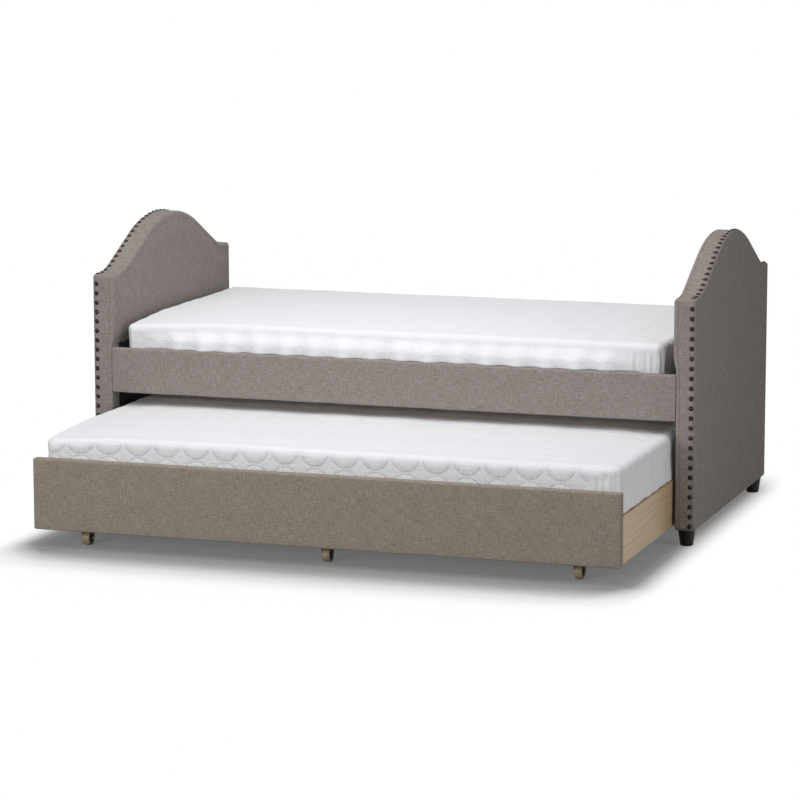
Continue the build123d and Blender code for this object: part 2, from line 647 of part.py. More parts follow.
TRUNDLE_SLAT_SPAN = SIDE_INNER_X - DECK_SIDE_GAP
for name, board_face, inward in (("front", FRONT_BACK, 1), ("back", BACK_BOARD_FRONT, -1)):
    with BuildPart() as trundle_ledger:
        block(
            (-SIDE_INNER_X, board_face, TRUNDLE_LEDGER_LOW),
            (SIDE_INNER_X, board_face + inward * TRUNDLE_LEDGER, TRUNDLE_LEDGER_HIGH),
        )
        screw_y = board_face + inward * TRUNDLE_LEDGER / 2
        with Locations(*[(x, screw_y, TRUNDLE_LEDGER_HIGH) for x in slat_places(TRUNDLE_SLAT_SPAN)]):
            Hole(SCREW_RADIUS + HOLE_SLACK, SLAT_SCREW_LENGTH - SLAT_THICK + HOLE_SLACK)
    save(trundle_ledger, f"trundle_{name}_ledger")

make_slats("trundle", TRUNDLE_SLAT_SPAN, FRONT_BACK, BACK_BOARD_FRONT, TRUNDLE_LEDGER / 2, TRUNDLE_DECK)

with BuildPart() as trundle_corner_blocks:
    for _, sign in ENDS:
        for board_face, inward in ((FRONT_BACK, 1), (BACK_BOARD_FRONT, -1)):
            block(
                (sign * SIDE_INNER_X, board_face, BEAM_LOW),
                (
                    sign * (SIDE_INNER_X - CORNER_BLOCK),
                    board_face + inward * CORNER_BLOCK,
                    CORNER_BLOCK_HIGH,
                ),
            )
save(trundle_corner_blocks, "trundle_corner_blocks")

trundle_mattress_front = FRONT_BACK + TRUNDLE_MATTRESS_FRONT_GAP
trundle_mattress_rear = TRUNDLE_REAR - TRUNDLE_MATTRESS_REAR_GAP
make_mattress(
    "trundle_mattress",
    2 * (SIDE_OUTER_X - TRUNDLE_MATTRESS_END_GAP),
    trundle_mattress_rear - trundle_mattress_front,
    TRUNDLE_MATTRESS_THICK,
    (trundle_mattress_front + trundle_mattress_rear) / 2,
    TRUNDLE_DECK,
)

# Casters: a fork under each end of three beams, with a wheel turning on a riveted axle
CASTER_COLUMNS = (("left", -CASTER_X), ("centre", 0), ("right", CASTER_X))
CASTER_ROWS = (("front", TRUNDLE_FRONT + CASTER_INSET), ("rear", TRUNDLE_REAR - CASTER_INSET))
CASTER_PLACES = [(x, y) for _, x in CASTER_COLUMNS for _, y in CASTER_ROWS]
LEG_INNER = WHEEL_WIDTH / 2 + FORK_SIDE_GAP
LEG_OUTER = LEG_INNER + FORK_LEG
PLATE_SCREW = LEG_OUTER + SCREW_HEAD_RADIUS + PLATE_SCREW_GAP  # each way from the middle of the plate


def plate_screw_places(x, y):
    """The four screws of a caster's plate."""
    return [(x + a * PLATE_SCREW, y + b * PLATE_SCREW) for a in (-1, 1) for b in (-1, 1)]


for column, x in CASTER_COLUMNS:
    with BuildPart() as beam:
        block(
            (x - BEAM_WIDTH / 2, FRONT_BACK, BEAM_LOW),
            (x + BEAM_WIDTH / 2, BACK_BOARD_FRONT, BEAM_LOW + BEAM_HEIGHT),
        )
        for _, y in CASTER_ROWS:
            for screw_x, screw_y in plate_screw_places(x, y):
                hole_top = BEAM_LOW - PLATE_THICK + SCREW_LENGTH + HOLE_SLACK
                rod(
                    (screw_x, screw_y, BEAM_LOW),
                    (screw_x, screw_y, hole_top),
                    SCREW_RADIUS + HOLE_SLACK,
                    Mode.SUBTRACT,
                )
    save(beam, f"trundle_{column}_beam")

    for row, y in CASTER_ROWS:
        plate_low = BEAM_LOW - PLATE_THICK
        with BuildPart() as fork:
            block(
                (x - PLATE_SIZE / 2, y - PLATE_SIZE / 2, plate_low),
                (x + PLATE_SIZE / 2, y + PLATE_SIZE / 2, BEAM_LOW),
            )
            for screw_x, screw_y in plate_screw_places(x, y):
                rod(
                    (screw_x, screw_y, plate_low),
                    (screw_x, screw_y, BEAM_LOW),
                    SCREW_RADIUS + HOLE_SLACK,
                    Mode.SUBTRACT,
                )
            for leg_side in (-LEG_OUTER, LEG_INNER):
                with BuildSketch(Plane.YZ.offset(x + leg_side)):
                    with Locations((y, WHEEL_RADIUS)):
                        Circle(FORK_TIP_RADIUS)
                    with Locations((y, plate_low)):
                        Rectangle(FORK_ROOT_WIDTH, PLATE_THICK)
                    make_hull()
                extrude(amount=FORK_LEG)
            axle_hole = AXLE_RADIUS + HOLE_SLACK
            rod(
                (x - LEG_OUTER, y, WHEEL_RADIUS),
                (x + LEG_OUTER, y, WHEEL_RADIUS),
                axle_hole,
                Mode.SUBTRACT,
            )
        save(fork, f"{row}_{column}_caster_fork")

        with BuildPart() as wheel:
            half = WHEEL_WIDTH / 2
            web = half - WHEEL_RECESS
            bore = AXLE_RADIUS + AXLE_RUNNING_FIT
            rim = WHEEL_RADIUS - WHEEL_CROWN - WHEEL_RIM
            edge = WHEEL_RADIUS - WHEEL_CROWN
            with BuildSketch(Plane(origin=(x, y, WHEEL_RADIUS), x_dir=(1, 0, 0), z_dir=(0, -1, 0))):
                with BuildLine():
                    ThreePointArc((-half, edge), (0, WHEEL_RADIUS), (half, edge))
                    for way in (-1, 1):
                        Polyline(
                            (way * half, edge),
                            (way * half, rim),
                            (way * web, rim),
                            (way * web, WHEEL_HUB_RADIUS),
                            (way * half, WHEEL_HUB_RADIUS),
                            (way * half, bore),
                        )
                    Line((-half, bore), (half, bore))
                make_face()
            revolve(axis=Axis((x, y, WHEEL_RADIUS), (1, 0, 0)))
        save(wheel, f"{row}_{column}_caster_wheel")

with BuildPart() as caster_axles:
    for x, y in CASTER_PLACES:
        rod((x - LEG_OUTER, y, WHEEL_RADIUS), (x + LEG_OUTER, y, WHEEL_RADIUS), AXLE_RADIUS)
        for way in (-1, 1):
            seat = x + way * LEG_OUTER
            rod((seat, y, WHEEL_RADIUS), (seat + way * AXLE_HEAD, y, WHEEL_RADIUS), AXLE_HEAD_RADIUS)
save(caster_axles, "caster_axles")

with BuildPart() as caster_screws:
    for x, y in CASTER_PLACES:
        for screw_x, screw_y in plate_screw_places(x, y):
            seat = BEAM_LOW - PLATE_THICK
            rod((screw_x, screw_y, seat - SCREW_HEAD), (screw_x, screw_y, seat), SCREW_HEAD_RADIUS)
            rod((screw_x, screw_y, seat), (screw_x, screw_y, seat + SCREW_LENGTH), SCREW_RADIUS)
save(caster_screws, "caster_screws")
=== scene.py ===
import math

import bpy
import numpy as np
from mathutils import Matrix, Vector


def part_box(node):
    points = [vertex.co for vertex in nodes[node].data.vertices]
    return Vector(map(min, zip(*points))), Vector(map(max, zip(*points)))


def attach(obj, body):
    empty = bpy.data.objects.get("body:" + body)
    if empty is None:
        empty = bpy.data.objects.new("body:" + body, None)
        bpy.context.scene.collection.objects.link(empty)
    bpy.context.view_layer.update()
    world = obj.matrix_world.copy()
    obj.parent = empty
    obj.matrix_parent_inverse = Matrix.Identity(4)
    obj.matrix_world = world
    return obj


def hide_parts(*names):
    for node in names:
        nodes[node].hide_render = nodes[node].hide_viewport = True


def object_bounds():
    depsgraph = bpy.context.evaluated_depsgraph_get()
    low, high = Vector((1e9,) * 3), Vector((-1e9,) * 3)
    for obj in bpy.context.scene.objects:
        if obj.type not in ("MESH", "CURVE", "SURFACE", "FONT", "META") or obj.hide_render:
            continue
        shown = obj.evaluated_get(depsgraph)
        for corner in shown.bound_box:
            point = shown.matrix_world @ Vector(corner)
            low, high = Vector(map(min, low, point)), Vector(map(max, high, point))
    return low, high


# Trundle bed: the looks of an upholstered day bed and of the bed that rolls out from under it.
# Metres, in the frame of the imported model: +X to the right end, -Y to the front, +Z up from the floor.

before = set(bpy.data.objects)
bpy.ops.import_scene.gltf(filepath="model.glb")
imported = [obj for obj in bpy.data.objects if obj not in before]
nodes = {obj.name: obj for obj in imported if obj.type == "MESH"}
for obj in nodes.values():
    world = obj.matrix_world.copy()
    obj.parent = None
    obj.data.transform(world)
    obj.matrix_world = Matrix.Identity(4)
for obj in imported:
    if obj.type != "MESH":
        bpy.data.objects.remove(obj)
cad_low, cad_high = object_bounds()
MM = 0.001
ENDS = (("left", -1), ("right", 1))
random = np.random.default_rng(7)

# End panels: their outline, as the frame has it
PANEL_LOW, PANEL_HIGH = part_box("right_end_cover")
PANEL_MIDDLE = (PANEL_LOW.y + PANEL_HIGH.y) / 2
PANEL_HALF = (PANEL_HIGH.y - PANEL_LOW.y) / 2
SHOULDER_HEIGHT = 812 * MM
SHOULDER_FLAT = 25 * MM
COVE_RADIUS = 245 * MM
ARCH_STEEPNESS = 1.48  # slope of the straight run over the mean slope from shoulder to crown
ARCH_RISE = PANEL_HIGH.z - SHOULDER_HEIGHT
ARCH_RUN = PANEL_HALF - SHOULDER_FLAT
ARCH_SLOPE = ARCH_STEEPNESS * math.atan2(ARCH_RISE, ARCH_RUN)
ARCH_RADII = (ARCH_RUN * math.sin(ARCH_SLOPE) - ARCH_RISE * math.cos(ARCH_SLOPE)) / (1 - math.cos(ARCH_SLOPE))
CROWN_RADIUS = ARCH_RADII - COVE_RADIUS
PANEL_CORNER = 12 * MM  # corner radius of the outline

# End panels: their padding
EDGE_ROLL = 10 * MM  # radius of the padded edge
SEAM_BACK = 14 * MM  # seam along the edge, behind the inner face
SEAM_DEPTH = 2.2 * MM
SEAM_WIDTH = 3 * MM
BEAD = 2 * MM  # the edge stands this far out of the face beside it
BEAD_WIDTH = 7 * MM
PUFF = 5 * MM  # how far the face stands out of its edge above the bed rail
PUFF_RUN = 75 * MM  # distance from the edge over which it rises
SWELL = 8 * MM  # how far the face and its edge stand out together above the bed rail
SWELL_RUN = 60 * MM  # height over which they come out
SWELL_BACK = 32 * MM  # how far back the edge band follows
SWELL_START = 4 * MM  # how far above the bed rail this begins
FACE_STEP = 13 * MM  # mesh spacing on a face
FACE_FINE = (6 * MM, 13 * MM, 24 * MM, 38 * MM)  # extra mesh lines, this far in from its border
BAND_STEP = 7 * MM  # mesh spacing across the edge band
EDGE_STEPS = 6  # mesh steps round an edge or a corner
FACE_WAVES = (240 * MM, 130 * MM)  # lengths of the face's unevenness
CLOTH_THICK = 1.6 * MM
BOARD_ROLL = 2.5 * MM  # soft edge of the board that closes the outer side
BOARD_STEPS = 4  # mesh steps round that edge

# Black sheets low on the inner faces
INNER_SHEET_STEP = 22 * MM  # mesh spacing
INNER_SHEET_THICK = 0.5 * MM
INNER_SHEET_LIP = 0.1 * MM  # how far its back stands out past its face
INNER_SHEET_CLEAR = 0.3 * MM  # how far the sheet's face lies inside its node
INNER_SHEET_SLACK = 0.15 * MM  # how far it is from flat
INNER_SHEET_WAVES = (31, 23)  # waves across and up the cloth, in radians to a metre

# Bed rails and the front of the trundle
RAIL_EDGE = 6.5 * MM
FRONT_EDGE = 6 * MM
COVER_STEP = 16 * MM  # mesh spacing
COVER_WAVE = 0.5 * MM  # unevenness of the wadding, here and on the end panels
COVER_WAVES = (300 * MM, 150 * MM)  # and its lengths
RAIL_FADE = 60 * MM  # distance from a rail's ends over which the unevenness comes in
FRONT_FADE = 50 * MM  # and from the edges of the trundle's front
RAIL_FINE = (3 * MM,)  # extra mesh lines, this far in from a rail's ends
TURN_IN = 2 * MM  # how far the cloth turns in over the back of the trundle's front
BACK_CLEAR = 0.2 * MM  # how far it stays inside its node there
BACK_SINK = 3 * MM  # and how far the back lies inside the turned-in cloth

# Mattresses
BASE_ROLL = 6 * MM
BASE_FADE = 25 * MM  # height above the base at which the quilting and folds begin to flatten
ROLL_STEPS = 7  # mesh steps round the upper edge
BASE_STEPS = 3  # and round the lower one
SIDE_DRAW = 3 * MM  # how far the sides pull in at half height
CROWN_RISE = 6 * MM
CROWN_RUN = 150 * MM
MATTRESS_STEP = 5.9 * MM  # mesh spacing
ROUND_PITCH = 100.6 * MM  # quilted rounds along the mattress
ROW_PITCH = 97 * MM  # and about so far across it
ROWS = 5  # rows from the middle to the one on the long edge
ROUND_RADIUS = 45 * MM
LINE_INSET = 1 * MM  # the outer line of stitching lies this far inside a round's edge
LINE_APART = 9 * MM  # and the inner one this far inside the outer
ROUND_RISE = 4.8 * MM
QUILT_SINK = 0.4  # share of that rise by which the stitching lies below the plain form
TOP_DRAWN = 0.3  # how far the stitching is drawn in on the top, which also sets how much painted shade it gets there
SIDE_RUN = (4 * MM, 34 * MM)  # depth below the top over which the top becomes the side
END_TURN = (0.25, 0.8)  # how far a side has turned to the left or right where it becomes a plain end
FOLD_RISE = 4.2 * MM  # soft folds down the plain ends
FOLD_WAVES = (110 * MM, 60 * MM)  # and their lengths
CREASE_WAVE = 34 * MM  # length of the finer folds on them
GATHER_RISE = 4.5 * MM
GATHER_RUN = 150 * MM  # length of the gathers before the right end
GATHER_DEPTH = 25 * MM  # depth below the rolled edge over which they come in
GATHER_WAVES = (26 * MM, 22 * MM)
HEM_RISE = 6 * MM  # unevenness of the lower edge
HEM_RUN = (40 * MM, 10 * MM)  # height above the base where it begins and where it is full
HEM_WAVES = (220 * MM, 120 * MM)
CORNER_STEPS = 12  # mesh steps round a corner
SAG = 1.2 * MM  # unevenness of the whole mattress
SAG_WAVES = (420 * MM, 260 * MM)
OVERHANG = 30 * MM  # how far the upper mattress stands out over the bed rails
OVERHANG_DEPTH = (20 * MM, 65 * MM)  # depth below the top over which it comes out
OVERHANG_ENDS = (60 * MM, 240 * MM)  # and distance from its ends
OVERHANG_WAVE = 300 * MM  # length of the unevenness in that
LEDGE_STEP = 1 * MM  # height over which it steps back at the top of the rails
SLUMP = 14 * MM  # how far the soft left front corners sink
SLUMP_RUN = 200 * MM  # and over what distance


def smoothstep(value, low, high):
    """0 below low, 1 above high and smooth between them."""
    share = np.clip((value - low) / (high - low), 0, 1)
    return share * share * (3 - 2 * share)


def uneven(place, *lengths):
    """A gentle random wave along a line or over a plane, about -1 to 1, from waves of given lengths."""
    place = np.asarray(place, float).reshape(len(place), -1)
    total = np.zeros(len(place))
    for length in lengths:
        for _ in range(3):
            way = random.normal(size=place.shape[1])
            way /= np.linalg.norm(way)
            wave_length = length * random.uniform(0.75, 1.3)
            start = random.uniform(0, 6.28)
            total += np.sin(place @ way * 2 * math.pi / wave_length + start)
    return total / (1.5 * len(lengths))


def spread(low, high, step, fine=()):
    """Even places from low to high about a step apart, with extra ones at fine distances from both ends."""
    near = [low + d for d in fine] + [high - d for d in fine]
    even = np.linspace(low, high, max(2, round((high - low) / step)) + 1)
    kept = [v for v in even[1:-1] if all(abs(v - n) > step * 0.5 for n in near)]
    return np.array(sorted([low, high] + near + kept))


# Shells: a grid in a plane, and loops that go out from its border and round its corners

def border_of(grid):
    """The grid's border as four runs: along the bottom, right, top and left."""
    return [grid[0, :], grid[:, -1], grid[-1, ::-1], grid[::-1, 0]]


def loop_of(grid, top_ways, corner_steps):
    """One loop round the grid, as places on its border, ways out of it and the grid's vertices there."""
    rows, columns = grid.shape[:2]
    numbers = border_of(np.arange(rows * columns).reshape(rows, columns))
    top = np.tile((0.0, 1.0), (columns, 1)) if top_ways is None else top_ways
    side = np.tile((1.0, 0.0), (rows, 1))
    ways = [np.tile((0.0, -1.0), (columns, 1)), side, top[::-1], -side]
    places, outward, origin = [], [], []
    for run, border in enumerate(border_of(grid)):
        start = math.atan2(ways[run][-1][1], ways[run][-1][0])
        after = ways[(run + 1) % 4][0]
        turn = (math.atan2(after[1], after[0]) - start) % (2 * math.pi)
        angles = start + turn * np.arange(1, corner_steps) / corner_steps
        places += [border, np.tile(border[-1], (corner_steps - 1, 1))]
        outward += [ways[run], np.stack([np.cos(angles), np.sin(angles)], 1)]
        origin += list(numbers[run]) + [numbers[run][-1]] * (corner_steps - 1)
    return np.concatenate(places), np.concatenate(outward), np.array(origin)


def make_shell(name, grid, profile, lift, corner_steps, top_ways=None, flip=False, cap=False):
    """A padded form. Each step of profile is (distance out from the grid's border, depth, distance along the
    cloth), and lift turns places in the plane and depths into places in space."""
    rows, columns = grid.shape[:2]
    places, outward, inner = loop_of(grid, top_ways, corner_steps)
    flat = [grid.reshape(-1, 2)]
    points = [lift(flat[0], np.zeros(rows * columns))]
    number = np.arange(rows * columns).reshape(rows, columns)
    corners = [number[:-1, :-1], number[:-1, 1:], number[1:, 1:], number[1:, :-1]]
    faces = np.stack([c.ravel() for c in corners], 1).tolist()
    length = len(places)
    for step, (out, depth, along) in enumerate(profile):
        flat.append(places + outward * along)
        points.append(lift(places + outward * out, np.full(length, depth)))
        outer = rows * columns + step * length + np.arange(length)
        ring = np.stack([inner, outer, np.roll(outer, -1), np.roll(inner, -1)], 1).tolist()
        faces += [list(dict.fromkeys(face)) for face in ring]
        inner = outer
    if cap:
        faces.append(inner[::-1].tolist())
    if flip:
        faces = [face[::-1] for face in faces]
    return make_mesh(name, np.concatenate(points), faces, np.concatenate(flat))


def make_mesh(name, points, faces, flat):
    """A smooth mesh with a UV map that is the cloth laid flat, in metres."""
    mesh = bpy.data.meshes.new(name)
    mesh.from_pydata(points.tolist(), [], faces)
    mesh.uv_layers.new(name="cloth")
    lay_flat(mesh, flat)
    mesh.shade_smooth()
    piece = bpy.data.objects.new(name, mesh)
    bpy.context.scene.collection.objects.link(piece)
    return piece


def lay_flat(mesh, flat):
    """Sets the UV map from places on the cloth, one to a vertex."""
    corners = np.zeros(len(mesh.loops), np.int32)
    mesh.loops.foreach_get("vertex_index", corners)
    mesh.uv_layers["cloth"].uv.foreach_set("vector", flat[corners].astype(np.float32).ravel())


def places_of(piece):
    """The piece's vertices."""
    places = np.zeros(len(piece.data.vertices) * 3, np.float32)
    piece.data.vertices.foreach_get("co", places)
    return places.reshape(-1, 3).astype(float)


def normals_of(piece):
    """The piece's vertex normals."""
    normals = np.zeros(len(piece.data.vertices) * 3, np.float32)
    piece.data.vertex_normals.foreach_get("vector", normals)
    return normals.reshape(-1, 3).astype(float)


def move_to(piece, places):
    """Sets the piece's vertices."""
    piece.data.vertices.foreach_set("co", places.astype(np.float32).ravel())
    piece.data.update()


# Materials

def linear(colour):
    """An sRGB hex colour as linear RGBA."""
    channels = [int(colour[place:place + 2], 16) / 255 for place in (1, 3, 5)]
    return [c / 12.92 if c <= 0.04045 else ((c + 0.055) / 1.055) ** 2.4 for c in channels] + [1.0]


def add(tree, kind, links=None, values=None, stops=(), **settings):
    """Adds a node with settings, socket values and links. stops are a colour ramp's places and colours."""
    node = tree.nodes.new(kind)
    for place, colour in stops:
        ends = node.color_ramp.elements
        element = ends[0] if place == stops[0][0] else ends[-1] if place == stops[-1][0] else ends.new(place)
        element.position = place
        element.color = linear(colour)
    for name, value in settings.items():
        setattr(node, name, value)
    for socket, value in (values or {}).items():
        node.inputs[socket].default_value = value
    for socket, source in (links or {}).items():
        tree.links.new(source, node.inputs[socket])
    return node


def new_material(name, roughness, metallic=0.0):
    """A material with only its shader."""
    material = bpy.data.materials.new(name)
    material.use_nodes = True
    shader = material.node_tree.nodes["Principled BSDF"]
    shader.inputs["Roughness"].default_value = roughness
    shader.inputs["Metallic"].default_value = metallic
    return material, material.node_tree, shader


def linen_upholstery(name, heathered):
    """Woven polyester in a linen look: matt and heathered, of thick and thin threads, taupe-grey both ways.
    Its threads lie 0.8 mm apart; they are drawn about 3 mm apart, as fine as the picture shows."""
    material, tree, shader = new_material(name, 0.92)
    thread, slub, fleck, patch = 2.8 * MM, 26 * MM, 3.2 * MM, 60 * MM
    flat = add(tree, "ShaderNodeUVMap", uv_map="cloth").outputs["UV"]
    threads = []
    for length, width in ((slub, thread), (thread, slub)):
        place = add(tree, "ShaderNodeMapping", {"Vector": flat}, {"Scale": (1 / length, 1 / width, 1)})
        noise = add(
            tree,
            "ShaderNodeTexNoise",
            {"Vector": place.outputs["Vector"]},
            {"Scale": 1.0, "Detail": 2.0, "Roughness": 0.6},
        )
        threads.append(noise.outputs["Fac"])
    speckle = add(tree, "ShaderNodeTexNoise", {"Vector": flat}, {"Scale": 1 / fleck, "Detail": 1.0})
    heather = add(tree, "ShaderNodeTexNoise", {"Vector": flat}, {"Scale": 1 / patch, "Detail": 2.0})
    woven = add(tree, "ShaderNodeMath", {0: threads[0], 1: threads[1]}, operation="ADD")
    yarn = add(tree, "ShaderNodeMath", {0: woven.outputs[0], 1: speckle.outputs["Fac"]}, operation="ADD")
    tone = add(
        tree,
        "ShaderNodeMath",
        {0: heather.outputs["Fac"], 2: yarn.outputs[0]},
        {1: 0.2},
        operation="MULTIPLY_ADD",
    )
    share = add(tree, "ShaderNodeMapRange", {"Value": tone.outputs[0]}, {"From Min": 1.0, "From Max": 2.2})
    stops = list(zip((0.15, 0.5, 0.85), heathered))
    colour = add(tree, "ShaderNodeValToRGB", {"Fac": share.outputs["Result"]}, stops=stops)
    tree.links.new(colour.outputs["Color"], shader.inputs["Base Color"])
    bump = add(tree, "ShaderNodeBump", {"Height": yarn.outputs[0]}, {"Strength": 0.3, "Distance": 0.6 * MM})
    tree.links.new(bump.outputs["Normal"], shader.inputs["Normal"])
    shader.inputs["Specular IOR Level"].default_value = 0.12
    shader.inputs["Sheen Weight"].default_value = 0.04
    shader.inputs["Sheen Roughness"].default_value = 0.4
    return material


def quilted_knit():
    """White polyester knit quilted over wadding: matt, each round held by two drawn-down lines of stitching,
    with fine gathers that run to them and looped stippling between the rounds. Plain ends are drawn into fine
    pleats. Its colour darkens with painted shade where the stitching lies deep, the more so where it is drawn
    in further. Its UV map counts rounds, along and across. The mesh says where it is plain, how far the
    stitching is drawn in and how far round the mattress a place is."""
    material, tree, shader = new_material("quilted_knit", 0.88)
    shader.inputs["Specular IOR Level"].default_value = 0.12
    rounds = add(tree, "ShaderNodeUVMap", uv_map="cloth").outputs["UV"]
    plain = add(tree, "ShaderNodeAttribute", attribute_name="plain").outputs["Fac"]
    drawn = add(tree, "ShaderNodeAttribute", attribute_name="drawn").outputs["Fac"]
    # Place within a round, in metres from its middle
    wrapped = add(
        tree,
        "ShaderNodeVectorMath",
        {0: rounds},
        {1: (0.5, 0.5, 0.5), 2: (-0.5, -0.5, -0.5)},
        operation="WRAP",
    ).outputs["Vector"]
    local = add(
        tree, "ShaderNodeVectorMath", {0: wrapped}, {1: (ROUND_PITCH, ROW_PITCH, 0)}, operation="MULTIPLY"
    ).outputs["Vector"]
    away = add(tree, "ShaderNodeVectorMath", {0: local}, operation="LENGTH").outputs["Value"]
    # Stitching: two valleys round the edge, drawn about 5 mm wide so that they show, the inner one shallow
    off_outer = add(
        tree, "ShaderNodeMath", {0: away}, {1: ROUND_RADIUS - LINE_INSET}, operation="SUBTRACT"
    ).outputs[0]
    outer = add(tree, "ShaderNodeMath", {0: off_outer}, operation="ABSOLUTE").outputs[0]
    off_inner = add(tree, "ShaderNodeMath", {0: off_outer}, {1: LINE_APART}, operation="ADD").outputs[0]
    inner = add(tree, "ShaderNodeMath", {0: off_inner}, operation="ABSOLUTE").outputs[0]
    shallow_inner = add(tree, "ShaderNodeMath", {0: inner}, {1: 2.2 * MM}, operation="ADD").outputs[0]
    distance = add(tree, "ShaderNodeMath", {0: outer, 1: shallow_inner}, operation="MINIMUM").outputs[0]
    valley = add(
        tree,
        "ShaderNodeMapRange",
        {"Value": distance},
        {"From Min": 0.5 * MM, "From Max": 4.2 * MM, "To Min": 0.8, "To Max": 0.0},
        interpolation_type="SMOOTHSTEP",
    ).outputs["Result"]
    # Gathers: creases that point to the middle of each round and fade away from its edge
    parts = add(tree, "ShaderNodeSeparateXYZ", {"Vector": local})
    turn = add(
        tree, "ShaderNodeMath", {0: parts.outputs["Y"], 1: parts.outputs["X"]}, operation="ARCTAN2"
    ).outputs[0]
    cell = add(
        tree, "ShaderNodeVectorMath", {0: rounds}, {1: (1.0, 1.0, 1.0)}, operation="SNAP"
    ).outputs["Vector"]
    fan = add(tree, "ShaderNodeCombineXYZ", {"X": turn, "Y": away}).outputs["Vector"]
    fans = add(tree, "ShaderNodeVectorMath", {0: cell, 1: fan}, operation="ADD").outputs["Vector"]
    streaks = add(
        tree, "ShaderNodeTexNoise", {"Vector": fans}, {"Scale": 4.5, "Detail": 1.0, "Distortion": 0.2}
    ).outputs["Fac"]
    crease = add(
        tree, "ShaderNodeMapRange", {"Value": streaks}, {"From Min": 0.48, "From Max": 0.62}
    ).outputs["Result"]
    between = add(
        tree,
        "ShaderNodeMapRange",
        {"Value": away},
        {"From Min": ROUND_RADIUS, "From Max": ROUND_RADIUS + 3 * MM},
        interpolation_type="SMOOTHSTEP",
    ).outputs["Result"]
    near_line = add(
        tree,
        "ShaderNodeMapRange",
        {"Value": away},
        {"From Min": ROUND_RADIUS * 0.25, "From Max": ROUND_RADIUS},
        interpolation_type="SMOOTHSTEP",
    ).outputs["Result"]
    held = add(
        tree, "ShaderNodeMath", {0: near_line, 1: between}, operation="SUBTRACT", use_clamp=True
    ).outputs[0]
    gathers = add(tree, "ShaderNodeMath", {0: crease, 1: held}, operation="MULTIPLY").outputs[0]
    # Stippling between the rounds, loops about 9 mm across
    loops = add(
        tree,
        "ShaderNodeTexNoise",
        {"Vector": rounds},
        {"Scale": ROUND_PITCH / (9 * MM), "Detail": 1.5, "Distortion": 0.8},
    ).outputs["Fac"]
    looped = add(
        tree, "ShaderNodeMapRange", {"Value": loops}, {"From Min": 0.42, "From Max": 0.68}
    ).outputs["Result"]
    stipple = add(tree, "ShaderNodeMath", {0: looped, 1: between}, operation="MULTIPLY").outputs[0]
    # How deep all the stitching draws the cloth in
    sewn = add(tree, "ShaderNodeMath", {0: gathers, 2: valley}, {1: 0.5}, operation="MULTIPLY_ADD").outputs[0]
    sunk = add(tree, "ShaderNodeMath", {0: stipple, 2: sewn}, {1: 0.5}, operation="MULTIPLY_ADD").outputs[0]
    depth = add(tree, "ShaderNodeMath", {0: sunk, 1: drawn}, operation="MULTIPLY").outputs[0]
    # Shallow wrinkles along the mattress, about 70 by 13 mm
    wrinkled = add(
        tree,
        "ShaderNodeMapping",
        {"Vector": rounds},
        {"Scale": (ROUND_PITCH / (70 * MM), ROW_PITCH / (13 * MM), 1)},
    ).outputs["Vector"]
    wrinkles = add(
        tree, "ShaderNodeTexNoise", {"Vector": wrinkled}, {"Scale": 1.0, "Detail": 1.0, "Distortion": 0.4}
    ).outputs["Fac"]
    # Pleats of the plain ends, about 14 mm apart and down the whole side
    girth = add(tree, "ShaderNodeAttribute", attribute_name="girth").outputs["Fac"]
    pleated = add(
        tree,
        "ShaderNodeTexNoise",
        {"W": girth},
        {"Scale": 1 / (14 * MM), "Detail": 2.0},
        noise_dimensions="1D",
    ).outputs["Fac"]
    pleats = add(
        tree, "ShaderNodeMapRange", {"Value": pleated}, {"From Min": 0.3, "From Max": 0.7, "To Max": 1.4}
    ).outputs["Result"]
    quilted = add(
        tree, "ShaderNodeMath", {0: wrinkles, 2: depth}, {1: -1.5}, operation="MULTIPLY_ADD"
    ).outputs[0]
    height = add(tree, "ShaderNodeMix", {"Factor": plain, "A": quilted, "B": pleats}).outputs["Result"]
    bump = add(
        tree, "ShaderNodeBump", {"Height": height}, {"Strength": 0.7, "Distance": 1.5 * MM}, invert=True
    )
    tree.links.new(bump.outputs["Normal"], shader.inputs["Normal"])
    # Painted shade: the colour darkens where the stitching is deep and light hardly reaches, less where it is
    # drawn in less and not at all on plain cloth
    unsewn = add(tree, "ShaderNodeMath", {1: plain}, {0: 1.0}, operation="SUBTRACT").outputs[0]
    shown = add(tree, "ShaderNodeMath", {0: drawn, 1: unsewn}, operation="MULTIPLY").outputs[0]
    shade = add(tree, "ShaderNodeMath", {0: depth, 1: shown}, operation="MULTIPLY").outputs[0]
    colour = add(tree, "ShaderNodeValToRGB", {"Fac": shade}, stops=((0.0, "#eeeff2"), (1.0, "#d5d6dd")))
    tree.links.new(colour.outputs["Color"], shader.inputs["Base Color"])
    return material


def sawn_wood(name, colours, grain, roughness, along):
    """Wood whose fine figure runs along one axis. grain is the width of a growth line."""
    material, tree, shader = new_material(name, roughness)
    place = add(tree, "ShaderNodeTexCoord").outputs["Object"]
    scale = [1 / grain] * 3
    scale["XYZ".index(along)] = 1 / (grain * 30)
    mapped = add(tree, "ShaderNodeMapping", {"Vector": place}, {"Scale": scale})
    figure = add(
        tree,
        "ShaderNodeTexNoise",
        {"Vector": mapped.outputs["Vector"]},
        {"Scale": 1.0, "Detail": 5.0, "Roughness": 0.62, "Distortion": 0.5},
    ).outputs["Fac"]
    stops = list(zip((0.25, 0.5, 0.78), colours))
    colour = add(tree, "ShaderNodeValToRGB", {"Fac": figure}, stops=stops)
    tree.links.new(colour.outputs["Color"], shader.inputs["Base Color"])
    bump = add(tree, "ShaderNodeBump", {"Height": figure}, {"Strength": 0.12, "Distance": 0.4 * MM})
    tree.links.new(bump.outputs["Normal"], shader.inputs["Normal"])
    return material


